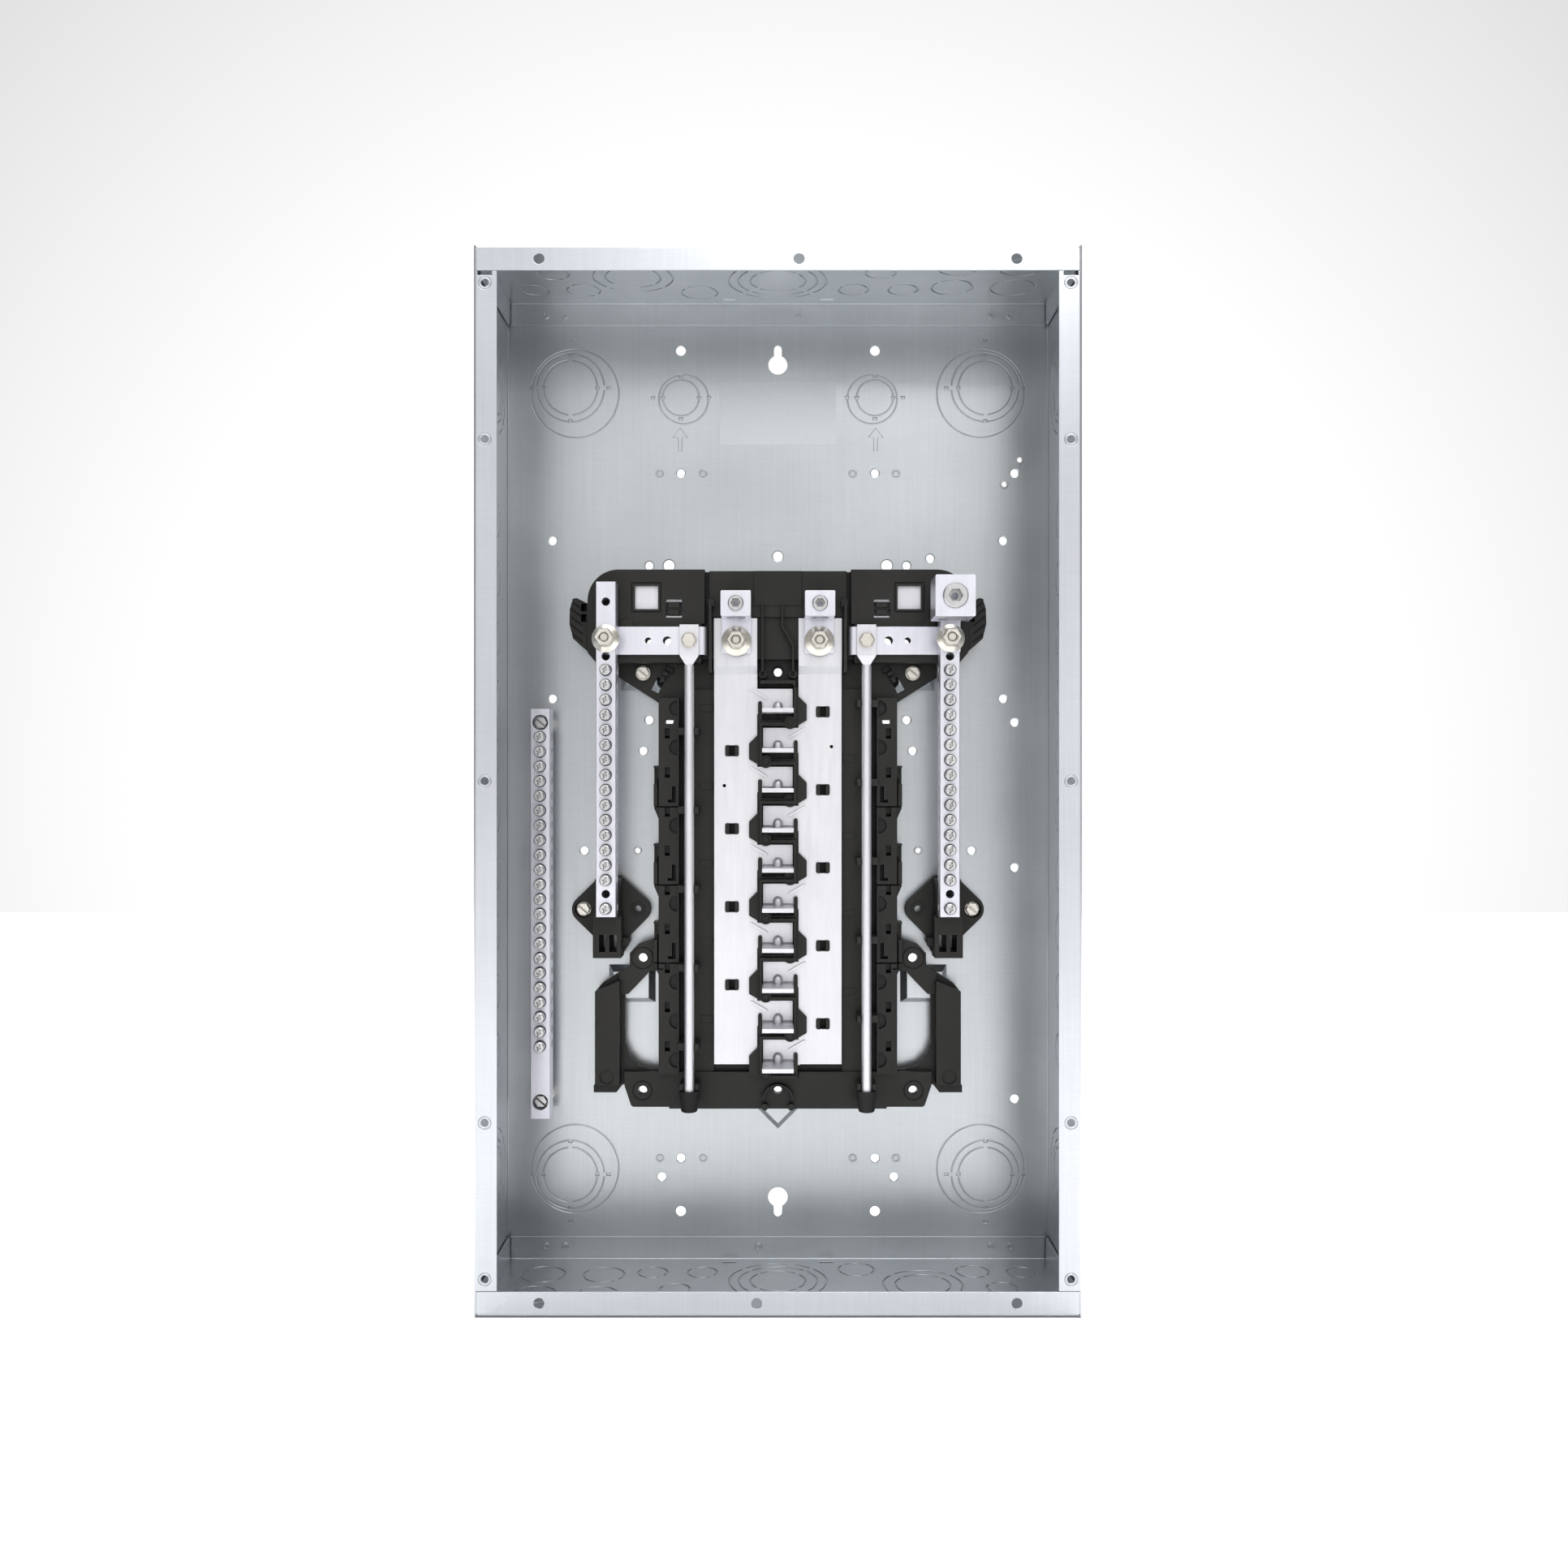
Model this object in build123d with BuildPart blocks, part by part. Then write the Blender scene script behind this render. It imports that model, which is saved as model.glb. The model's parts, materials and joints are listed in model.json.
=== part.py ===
from build123d import *

# Subpanel enclosure: a wall-mounted steel box with the interior of a 20-space load centre.
#
# The frame: +X to the right, +Z up, and the open front faces -Y. The origin is the centre of the
# back's outer face, which lies on the wall. Heights are measured from the back's inner face
# towards the open front, and every front view sketch has (x, z) as its coordinates.

import os
from math import atan2, degrees, hypot

# ---------------------------------------------------------------- driving dimensions, in mm
WIDTH = 362.0
HEIGHT = 637.0
DEPTH = 98.4
SHEET = 1.5
BEND = 0.5  # inner bend radius
SIDE_FLANGE = 14.0
END_FLANGE = 15.0
BAND = 16.1  # the end walls' other flanges
FIT_GAP = 0.6  # between the end walls and the sides
FRONT = DEPTH - SHEET  # height of the front face

PITCH = 25.4  # one breaker space
STABS = 10
FIRST_STAB_Z = 43.6  # lower face of the first stab's blade
METAL = 2.6  # bus bar and stab thickness
BUS_TOP = 18.4
BUS_INNER = 13.4
BUS_OUTER = 41.5
BUS_BOTTOM_Z = -184.5
BUS_TOP_Z = 105.5
JOGGLE = 4.6  # rise of the bus bars' lug ends
JOGGLE_LOW_Z = 69.4
JOGGLE_HIGH_Z = 74.6
STAB_TOP = 43.8
STAB_HALF_WIDTH = 10.0
FINGER_LENGTH = 16.5  # from the blade's lower face to the finger's far edge

BASE_FLOOR = 8.0  # the interior rests on raised pads of the back
BASE_SKIN = 3.0
BASE_BOTTOM_Z = -214.1
BASE_CORNER_Z = -212.9  # lower edge of the base's corners
RAIL_INNER = 64.2
RAIL_OUTER = 77.5
RAIL_TOP = 21.0
WING_TOP = 25.6
WING_TOP_Z = 136.7
WING_HALF = 123.0
WING_INNER = 49.5  # below the straps' ends
WING_TOP_INNER = 47.3  # above them
WING_CORNER = 20.0  # radius of the upper outer corners
MIDDLE_TOP = BUS_TOP - METAL + JOGGLE  # floor between the wings, under the bus bars' lug ends

STRAP_Z = 90.4
STRAP_WIDTH = 18.0
STRAP = 3.0
ROD_X = 57.0
ROD_RADIUS = 3.15
STUD_RADIUS = 2.75
MOUNT_SHANK = 1.75
BAR_X = 109.3
BAR_WIDTH = 12.6
BAR_DEPTH = 12.4
BAR_FLOOR = WING_TOP + STRAP
BAR_TOP = BAR_FLOOR + BAR_DEPTH
ROD_HEIGHT = BAR_FLOOR + STRAP / 2
BAR_HIGH_Z = 126.6
BAR_LOW_Z = -86.4
SCREW_PITCH = 9.525

GROUND_X = -153.8
GROUND_FLOOR = 12.0
GROUND_HIGH_Z = 46.7
GROUND_LOW_Z = -218.6
GROUND_SCREWS = 22
GROUND_FIRST_Z = 28.5

LEFT, RIGHT = -1, 1
SIDES = (("left", LEFT), ("right", RIGHT))


# ---------------------------------------------------------------- helpers
def front_view(height):
    """A sketch plane parallel to the back, at a height above its inner face."""
    return Plane(origin=(0, -(SHEET + height), 0), x_dir=(1, 0, 0), z_dir=(0, -1, 0))


def block(x_range, z_range, low, high, mode=Mode.ADD):
    """A box given by its ranges across, up and in height, added to the current part."""
    with BuildSketch(front_view(low)) as outline:
        with Locations(((x_range[0] + x_range[1]) / 2, (z_range[0] + z_range[1]) / 2)):
            Rectangle(abs(x_range[1] - x_range[0]), abs(z_range[1] - z_range[0]))
    extrude(outline.sketch, amount=high - low, mode=mode)


def post(x, z, radius, low, high, mode=Mode.ADD):
    """A round post or hole that stands square to the back."""
    with BuildSketch(front_view(low)) as outline:
        with Locations((x, z)):
            Circle(radius)
    extrude(outline.sketch, amount=high - low, mode=mode)


def ring(x, z, radius, width, low, high, mode=Mode.ADD):
    """A round wall or groove that stands square to the back."""
    with BuildSketch(front_view(low)) as outline:
        with Locations((x, z)):
            Circle(radius + width / 2)
            Circle(radius - width / 2, mode=Mode.SUBTRACT)
    extrude(outline.sketch, amount=high - low, mode=mode)


def countersinks(places, face, depth):
    """Cones cut at 45 degrees round holes given as x, z, radius, from the face inwards."""
    with BuildSketch(front_view(face - depth)) as outline:
        for x, z, radius in places:
            with Locations((x, z)):
                Circle(radius)
    extrude(outline.sketch, amount=depth + 0.01, taper=-45, mode=Mode.SUBTRACT)


def prism(points, low, high, mode=Mode.ADD, taper=0.0):
    """A plate with a polygon outline, standing square to the back."""
    with BuildSketch(front_view(low)) as outline:
        Polygon(*points, align=None)
    extrude(outline.sketch, amount=high - low, mode=mode, taper=taper)


def sided(side, points):
    """Points of a left-hand outline, mirrored for the right-hand one."""
    return [(-side * x, z) for x, z in points]


def wall(start, end, thickness, low, high):
    """A thin upright wall that runs from one point to another."""
    (x0, z0), (x1, z1) = start, end
    length = hypot(x1 - x0, z1 - z0) + thickness
    angle = degrees(atan2(z1 - z0, x1 - x0))
    with BuildSketch(front_view(low)) as outline:
        with Locations(((x0 + x1) / 2, (z0 + z1) / 2)):
            SlotOverall(length, thickness, rotation=angle)
    extrude(outline.sketch, amount=high - low)


def finished(builder, label):
    """The builder's part with its name."""
    builder.part.label = label
    return builder.part


# ---------------------------------------------------------------- sheet metal box
GROOVE = 1.1  # width of a knockout's sheared line
GROOVE_DEPTH = 0.5
BACK_GROOVE = 0.8
TIE = 3.0
KNOCKOUT_TIE_ANGLE = 45.0

# x, height, radii from the largest ring inwards, for the top end wall
END_KNOCKOUTS = [
    (0.0, 42.0, (31.0, 25.0, 17.5)),
    (-91.3, 48.5, (25.0, 17.3)),
    (-50.8, 21.5, (11.5,)),
    (-125.7, 25.5, (10.6,)),
    (-157.2, 26.5, (9.0,)),
    (-140.5, 54.0, (9.4,)),
    (48.7, 26.8, (9.4,)),
    (80.7, 26.8, (9.4,)),
    (64.3, 56.0, (9.4,)),
    (111.8, 31.0, (13.0,)),
    (151.0, 30.5, (14.0,)),
    (111.8, 65.0, (13.0,)),
    (151.0, 65.0, (14.0,)),
]
# z, height, radii, for both sides
SIDE_KNOCKOUTS = [(sign * 251.0, 39.0, (29.0, 22.2, 17.5)) for sign in (1, -1)]
SIDE_KNOCKOUTS += [(167.0 - 37.7 * i, 37.0, (11.1,)) for i in range(10)]

# Holes in the back, as x, z, radius
HOLE_SMALL, HOLE_MEDIUM, HOLE_LARGE = 2.7, 3.3, 3.7
EAR_BACK_Z = -117.4
WALL_HOLES = [(sx * 64.5, sz * 286.0, HOLE_MEDIUM) for sx in (1, -1) for sz in (1, -1)]
BACK_HOLES = [(sx * 64.5, z, HOLE_SMALL) for sx in (1, -1) for z in (204.7, -250.8)]
BACK_HOLES += [(sx * 149.7, z, HOLE_SMALL) for sx in (1, -1) for z in (159.9, 54.7)]
BACK_HOLES += [(sx * 85.5, z, HOLE_SMALL) for sx in (1, -1) for z in (143.2, 92.2, 40.6)]
BACK_HOLES += [(sx * 72.4, z, HOLE_LARGE) for sx in (1, -1) for z in (143.2, 92.2)]
BACK_HOLES += [(sx * 89.5, z, HOLE_SMALL) for sx in (1, -1) for z in (20.1, EAR_BACK_Z, -205.5)]
BACK_HOLES += [(sx * 128.7, -46.2, HOLE_SMALL) for sx in (1, -1)]
BACK_HOLES += [(sx * 77.2, -263.2, HOLE_SMALL) for sx in (1, -1)]
BACK_HOLES += [(157.3, z, HOLE_SMALL) for z in (204.7, 39.0, -57.6, -211.4)]
BACK_HOLES += [(0.0, 149.4, HOLE_MEDIUM), (0.0, 72.4, HOLE_SMALL), (0.0, -203.7, HOLE_SMALL)]
BACK_HOLES += [(101.2, 148.0, HOLE_SMALL)]
BACK_HOLES += [(sx * 72.8, 39.9, HOLE_MEDIUM) for sx in (1, -1)]
# Holes with a drawn collar, for thread-forming screws
COLLAR_HOLE, COLLAR_WALL, COLLAR_RISE = 1.7, 0.9, 1.1
COLLARS = [(160.5, 213.3), (150.3, 197.1), (93.1, -46.2), (-93.1, -46.2)]
# Blind dimples beside the middle holes
DIMPLES = [(sx * x, z) for sx in (1, -1) for x in (49.7, 78.5) for z in (204.7, -250.8)]
DIMPLE_DEPTH = 1.0
HOLE_EDGE = 0.5  # rolled edge of the back's holes
KEYHOLE_Z, KEYHOLE_RADIUS, KEYHOLE_SLOT = 276.6, 6.4, 2.6
KEYHOLE_RISE = 11.6
BACK_KNOCKOUT_X, BACK_KNOCKOUT_Z = 138.0, 261.5
BACK_KNOCKOUT_SHIFT = (3.1, 4.0)  # the outer ring's centre, towards the middle
SMALL_KNOCKOUT_X, SMALL_KNOCKOUT_Z = 64.5, 255.0
TIE_MARK, TIE_MARK_DEPTH = (2.6, 2.0), 1.0

COVER_HOLE = 2.4
COVER_RING, COVER_RING_WIDTH, COVER_RING_DEPTH = 3.7, 0.6, 0.35  # a shallow ring round a side cover hole
SIDE_COVER_X, SIDE_COVER_Z = 174.2, (296.0, 203.0, 0.0, -203.0, -296.0)
END_COVER_X, END_COVER_Z = (-142.0, 12.6, 142.0), 310.3

PAD_TAPER = 24.8  # slope of a raised pad's sides, in degrees
SIDE_PAD = [(-112.0, -122.0), (-112.0, -146.7), (-81.4, -146.7), (-81.4, -122.0)]
FOOT_PAD_Z, FOOT_PAD_HALF = -202.3, 28.6
TOP_PAD = [(-104.0, 60.0), (-104.0, 112.0), (-76.0, 112.0), (-76.0, 60.0)]


def knockout(radii, width, tie_angle=KNOCKOUT_TIE_ANGLE):
    """Sheared rings round the current location, bridged by ties."""
    for radius in radii:
        Circle(radius + width / 2)
        Circle(radius - width / 2, mode=Mode.SUBTRACT)
    reach = 2 * (radii[0] + width)
    Rectangle(reach, TIE, rotation=tie_angle, mode=Mode.SUBTRACT)
    if len(radii) > 1:
        Rectangle(reach, TIE, rotation=tie_angle + 90, mode=Mode.SUBTRACT)


def score(plane, knockouts):
    """Sheared lines of knockouts on both faces of a sheet whose outer face is the plane."""
    for face, depth in ((plane, -GROOVE_DEPTH), (plane.offset(-SHEET), GROOVE_DEPTH)):
        with BuildSketch(face) as outline:
            for x, y, radii in knockouts:
                with Locations((x, y)):
                    knockout(radii, GROOVE)
        extrude(outline.sketch, amount=depth, mode=Mode.SUBTRACT)


def raised_pad(points):
    """A pad pressed out of the back: a hollow frustum of sheet."""
    prism(points, 0, BASE_FLOOR, taper=PAD_TAPER)
    with BuildSketch(front_view(-SHEET)) as outline:
        Polygon(*points, align=None)
        offset(amount=-SHEET * 0.6, mode=Mode.REPLACE)
    extrude(outline.sketch, amount=BASE_FLOOR, taper=PAD_TAPER, mode=Mode.SUBTRACT)


def back_knockouts():
    """Sheared lines and punched tie marks of the back's knockouts, on its inner face."""
    with BuildSketch(front_view(0)) as outline:
        for sx in (1, -1):
            for sz in (1, -1):
                x, z = sx * BACK_KNOCKOUT_X, sz * BACK_KNOCKOUT_Z
                shift_x, shift_z = BACK_KNOCKOUT_SHIFT
                with Locations((x - sx * shift_x, z - sz * shift_z)):
                    Circle(29.2 + BACK_GROOVE / 2)
                    Circle(29.2 - BACK_GROOVE / 2, mode=Mode.SUBTRACT)
                with Locations((x, z)):
                    knockout((22.6, 18.0), BACK_GROOVE, tie_angle=0)
            with Locations((sx * (SMALL_KNOCKOUT_X - 1.8), SMALL_KNOCKOUT_Z - 1.0)):
                Circle(16.5 + BACK_GROOVE / 2)
                Circle(16.5 - BACK_GROOVE / 2, mode=Mode.SUBTRACT)
            with Locations((sx * SMALL_KNOCKOUT_X, SMALL_KNOCKOUT_Z)):
                knockout((12.1,), BACK_GROOVE, tie_angle=0)
    extrude(outline.sketch, amount=-GROOVE_DEPTH, mode=Mode.SUBTRACT)
    with BuildSketch(front_view(0)) as outline:
        for sx in (1, -1):
            for sz in (1, -1):
                x, z = sx * BACK_KNOCKOUT_X, sz * BACK_KNOCKOUT_Z
                spots = [(x + dx, z) for dx in (-26.0, -18.0, 18.0, 25.4)]
                spots += [(x, z + sz * dz) for dz in (31.5, 22.3)] + [(x, z - sz * 22.0)]
                with Locations(*spots):
                    Rectangle(*TIE_MARK)
            x, z = sx * SMALL_KNOCKOUT_X, SMALL_KNOCKOUT_Z
            spots = [(x + dx, z) for dx in (-18.6, -12.1, 12.1, 18.6)] + [(x, z + 14.2), (x, z - 14.2)]
            with Locations(*spots):
                Rectangle(*TIE_MARK)
    extrude(outline.sketch, amount=-TIE_MARK_DEPTH, mode=Mode.SUBTRACT)


def direction_arrow():
    """Two shallow arrows that show the supply end, with no lettering."""
    with BuildSketch(front_view(0)) as outline:
        for sx in (1, -1):
            with Locations((sx * 65.0, 224.0)):
                Rectangle(2.4, 9.0)
            with Locations((sx * 65.0, 230.5)):
                Triangle(a=10.0, b=8.0, c=8.0)
    extrude(outline.sketch, amount=-0.35, mode=Mode.SUBTRACT)


def make_enclosure_wrap():
    """The back and both sides, bent from one sheet, with the sides' front flanges."""
    half = WIDTH / 2 - SHEET / 2
    centre_bend = BEND + SHEET / 2
    with BuildPart() as wrap:
        with BuildSketch(Plane.XY.offset(-HEIGHT / 2)):
            with BuildLine():
                FilletPolyline(
                    (-WIDTH / 2 + SIDE_FLANGE, -DEPTH + SHEET / 2),
                    (-half, -DEPTH + SHEET / 2),
                    (-half, -SHEET / 2),
                    (half, -SHEET / 2),
                    (half, -DEPTH + SHEET / 2),
                    (WIDTH / 2 - SIDE_FLANGE, -DEPTH + SHEET / 2),
                    radius=centre_bend,
                )
            trace(line_width=SHEET)
        extrude(amount=HEIGHT)
        # the end walls' flanges take the place of the side flanges at both ends
        inside = WIDTH / 2 - SHEET
        for sign in (1, -1):
            z_cut = (sign * (HEIGHT / 2 - END_FLANGE - 0.4), sign * (HEIGHT / 2 + 1))
            block((-inside, inside), z_cut, FRONT - SHEET - BEND, FRONT + 1, Mode.SUBTRACT)
        top = HEIGHT / 2 - END_FLANGE
        for side in (LEFT, RIGHT):
            slot_x = (side * 178.6, side * 169.8)
            block(slot_x, (top + 1, top - 3.0), FRONT - SHEET - 1, FRONT + 1, Mode.SUBTRACT)
        for points in (SIDE_PAD, [(-x, z) for x, z in SIDE_PAD], TOP_PAD, [(-x, z) for x, z in TOP_PAD]):
            raised_pad(points)
        foot = [(0, FOOT_PAD_HALF), (FOOT_PAD_HALF, 0), (0, -FOOT_PAD_HALF), (-FOOT_PAD_HALF, 0)]
        raised_pad([(x, z + FOOT_PAD_Z) for x, z in foot])
        # collars stand up before their holes are pierced
        with BuildSketch(front_view(0)):
            with Locations(*COLLARS, *DIMPLES):
                Circle(COLLAR_HOLE + COLLAR_WALL)
        extrude(amount=COLLAR_RISE)
        for x, z in DIMPLES:
            post(x, z, COLLAR_HOLE, COLLAR_RISE - DIMPLE_DEPTH, COLLAR_RISE + 1, Mode.SUBTRACT)
        with BuildSketch(front_view(-SHEET)):
            for x, z, radius in WALL_HOLES + BACK_HOLES:
                with Locations((x, z)):
                    Circle(radius)
            with Locations(*COLLARS):
                Circle(COLLAR_HOLE)
            with Locations(*PILOT_HOLES):
                Circle(PILOT_RADIUS)
            for sign in (1, -1):
                with Locations((0, sign * KEYHOLE_Z)):
                    Circle(KEYHOLE_RADIUS)
                with Locations((0, sign * (KEYHOLE_Z + KEYHOLE_RISE / 2))):
                    SlotOverall(KEYHOLE_RISE + KEYHOLE_SLOT, 2 * KEYHOLE_SLOT, rotation=90)
        extrude(amount=BASE_FLOOR + 3 * SHEET, mode=Mode.SUBTRACT)
        countersinks(BACK_HOLES, 0, HOLE_EDGE)
        back_knockouts()
        direction_arrow()
        left_face = Plane(origin=(-WIDTH / 2, 0, 0), x_dir=(0, 0, 1), z_dir=(-1, 0, 0))
        right_face = Plane(origin=(WIDTH / 2, 0, 0), x_dir=(0, 0, -1), z_dir=(1, 0, 0))
        score(left_face, [(z, -(SHEET + h), radii) for z, h, radii in SIDE_KNOCKOUTS])
        score(right_face, [(-z, -(SHEET + h), radii) for z, h, radii in SIDE_KNOCKOUTS])
        with BuildSketch(front_view(FRONT)):
            with Locations(*[(side * SIDE_COVER_X, z) for side in (LEFT, RIGHT) for z in SIDE_COVER_Z]):
                Circle(COVER_HOLE)
        extrude(amount=-2 * SHEET, mode=Mode.SUBTRACT)
        with BuildSketch(front_view(FRONT)):
            with Locations(*[(side * SIDE_COVER_X, z) for side in (LEFT, RIGHT) for z in SIDE_COVER_Z]):
                Circle(COVER_RING + COVER_RING_WIDTH / 2)
                Circle(COVER_RING - COVER_RING_WIDTH / 2, mode=Mode.SUBTRACT)
        extrude(amount=-COVER_RING_DEPTH, mode=Mode.SUBTRACT)
    return finished(wrap, "enclosure_wrap")


CLINCH_X = (-154.0, -141.2, 12.9, 141.2, 154.0)
CLINCH_RADIUS, CLINCH_RISE = 2.3, 0.9


def make_end_wall(label, turn):
    """One end wall with flanges on its four sides. The bottom one is the same part, turned over."""
    top = HEIGHT / 2
    inside = WIDTH / 2 - SHEET
    half = inside - FIT_GAP
    band_half = half - 1.2
    tab_ends = (4.0, 92.0)
    with BuildPart() as end:
        with BuildSketch(Plane.YZ.offset(-half)):
            with BuildLine():
                FilletPolyline(
                    (-1.5 * SHEET, top - BAND),
                    (-1.5 * SHEET, top - SHEET / 2),
                    (-DEPTH + SHEET / 2, top - SHEET / 2),
                    (-DEPTH + SHEET / 2, top - END_FLANGE),
                    radius=BEND + SHEET / 2,
                )
            trace(line_width=SHEET)
        extrude(amount=2 * half)
        for side in (LEFT, RIGHT):
            band_end = (side * band_half, side * (half + 1))
            block(band_end, (top - SHEET - BEND, top - BAND - 1), -0.1, 2.5, Mode.SUBTRACT)
            tab_x = (side * half, side * (half - SHEET))
            block(tab_x, (top - SHEET, top - BAND), *tab_ends)
            flange_end = (side * (half - 0.1), side * (inside - 0.1))
            block(flange_end, (top - 2.0, top - END_FLANGE), FRONT - SHEET, FRONT)
        with BuildSketch(front_view(SHEET)):
            with Locations(*[(x, top - 9.6) for x in CLINCH_X]):
                Circle(CLINCH_RADIUS)
                Circle(CLINCH_RADIUS * 0.5, mode=Mode.SUBTRACT)
        extrude(amount=CLINCH_RISE)
        outer = Plane(origin=(0, 0, top), x_dir=(1, 0, 0), z_dir=(0, 0, 1))
        score(outer, [(x, -(SHEET + h), radii) for x, h, radii in END_KNOCKOUTS])
        with BuildSketch(outer):
            with Locations((-32.0, -SHEET - 8.5), (32.0, -SHEET - 8.5)):
                Rectangle(9.0, 2.2)
        extrude(amount=-SHEET, mode=Mode.SUBTRACT)
        with BuildSketch(front_view(FRONT)):
            with Locations(*[(x, END_COVER_Z) for x in END_COVER_X]):
                Circle(COVER_HOLE + 0.8)
        extrude(amount=-1.4 * SHEET, mode=Mode.SUBTRACT)
    end.part.label = label
    return end.part.rotate(Axis.Y, turn)


def make_blank_label():
    """A thin adhesive label with nothing printed on it."""
    with BuildPart() as label:
        with BuildSketch(front_view(0)):
            with Locations((0, 244.5)):
                RectangleRounded(77.0, 42.0, 1.0)
        extrude(amount=0.12)
    return finished(label, "blank_label")


# ---------------------------------------------------------------- interior base
SCREW_CLEAR = 0.05  # running clearance of a screw in its hole
PILOT_RADIUS = 1.8
MOUNT_SCREW_Z = 70.8
MOUNT_SCREW_X = 88.5
FOOT_Z = -84.4  # middle of a bar foot
FOOT_SCREW_X = 128.1
GROUND_MOUNT_Z = (37.9, -207.8)
PILOT_HOLES = [(sx * MOUNT_SCREW_X, MOUNT_SCREW_Z) for sx in (1, -1)]
PILOT_HOLES += [(sx * FOOT_SCREW_X, FOOT_Z) for sx in (1, -1)]
PILOT_HOLES += [(GROUND_X, z) for z in GROUND_MOUNT_Z]

DECK = BASE_FLOOR + BASE_SKIN  # top of the base's floor
CHANNEL_TOP = 14.0
END_DECK = 15.8
ARM_TOP = 20.0
BODY_TOP_Z = 60.0
MIDDLE_HALF = 44.5
HOLE_EAR_Z, HOLE_CORNER_Z = -115.8, -202.1
WINDOW_X, WINDOW_Z, WINDOW = 85.0, 118.7, 15.2
WINDOW_FRAME, FRAME_GROOVE = 19.6, 0.9
LATCH_X, LATCH_Z = 67.2, 111.6
HOOKS = 9
HOOK_FIRST_Z = 32.0
MIDDLE_WALL = 1.3
MIDDLE_HOLE_Z = 71.3
MIDDLE_RIDGE_TOP = 24.0
LEDGE_Z = 106.4
LEDGE_TOP = 22.6  # just under the main lugs
CLIP_FIRST_Z = {LEFT: 32.0, RIGHT: 49.9}  # the rail's clips stand at different places on each side

# Outline of the base's floor on the left, from the top middle down to the bottom middle
BODY_OUTLINE = [
    (-104.5, 80.0),
    (-104.5, 68.0),
    (-77.5, 51.0),
    (-77.5, -103.0),
    (-82.0, -103.5),
    (-91.5, -107.0),
    (-97.3, -113.0),
    (-97.3, -121.5),
    (-104.5, -125.8),
    (-115.0, -132.5),
    (-119.0, -137.0),
    (-119.0, -198.0),
    (-121.0, -200.0),
    (-121.0, -204.5),
    (-106.0, -204.5),
    (-102.0, -199.3),
    (-100.2, -199.3),
    (-96.0, -211.8),
    (-94.6, BASE_CORNER_Z),
    (-72.3, BASE_CORNER_Z),
    (-71.1, BASE_BOTTOM_Z),
]
WING_OUTLINE = [
    (-WING_TOP_INNER, WING_TOP_Z),
    (-WING_HALF, WING_TOP_Z),
    (-WING_HALF, 83.0),
    (-117.5, 76.5),
    (-WING_INNER, 76.5),
    (-WING_INNER, 101.5),
    (-WING_TOP_INNER, 101.5),
]
WING_HOLLOW = [
    (-WING_INNER - 2.2, WING_TOP_Z - 3),
    (-103.0, WING_TOP_Z - 3),
    (-111.5, 130.5),
    (-117.5, 124.5),
    (-WING_HALF + 3, 115.5),
    (-WING_HALF + 3, 84.5),
    (-116.0, 79.5),
    (-WING_INNER - 2.2, 79.5),
]
CORNER_OUTLINE = [
    (-77.0, -190.0),
    (-100.5, -190.0),
    (-100.2, -199.3),
    (-96.0, -211.8),
    (-94.6, BASE_CORNER_Z),
    (-77.0, BASE_CORNER_Z),
]
ARM_OUTLINE = [(-103.0, -130.0), (-119.0, -137.0), (-119.0, -198.0), (-103.0, -198.0)]
EAR_OUTLINE = [
    (-77.0, -103.5),
    (-82.0, -103.5),
    (-91.5, -107.0),
    (-96.5, -113.0),
    (-96.5, -121.0),
    (-104.0, -125.5),
    (-104.0, -139.5),
    (-98.0, -139.5),
    (-85.5, -126.5),
    (-77.0, -124.3),
]
HANDLE_WINDOW = [
    (-77.5, -129.0),
    (-79.3, -124.3),
    (-85.5, -124.3),
    (-85.5, -126.5),
    (-98.0, -139.5),
    (-100.3, -139.5),
    (-100.3, -172.0),
    (-97.5, -180.5),
    (-91.5, -186.6),
    (-83.0, -189.2),
    (-77.5, -189.2),
]


WING_TRENCH = (44.7, 47.1)
STRAP_HOLES = ((83.5, 2.1), (71.3, 2.8))  # plain holes of a strap, as x and radius
WING_HOLE_MARGIN, WING_HOLE_SHIFT = 0.3, 1.1
RAIL_SCOOP_X, RAIL_SCOOP, RAIL_SCOOP_DEPTH = 65.5, 5.1, 2.4
LATCHES = 3  # sprung latches of each rail, two breaker spaces apart
LATCH_FIRST_Z = 10.0
LATCH_SLIT = 0.9
CROSS_BANDS = {LEFT: 5, RIGHT: 4}
CROSS_BAND_Z = {LEFT: 45.4, RIGHT: 12.8}  # lower edge of the first band


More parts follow.
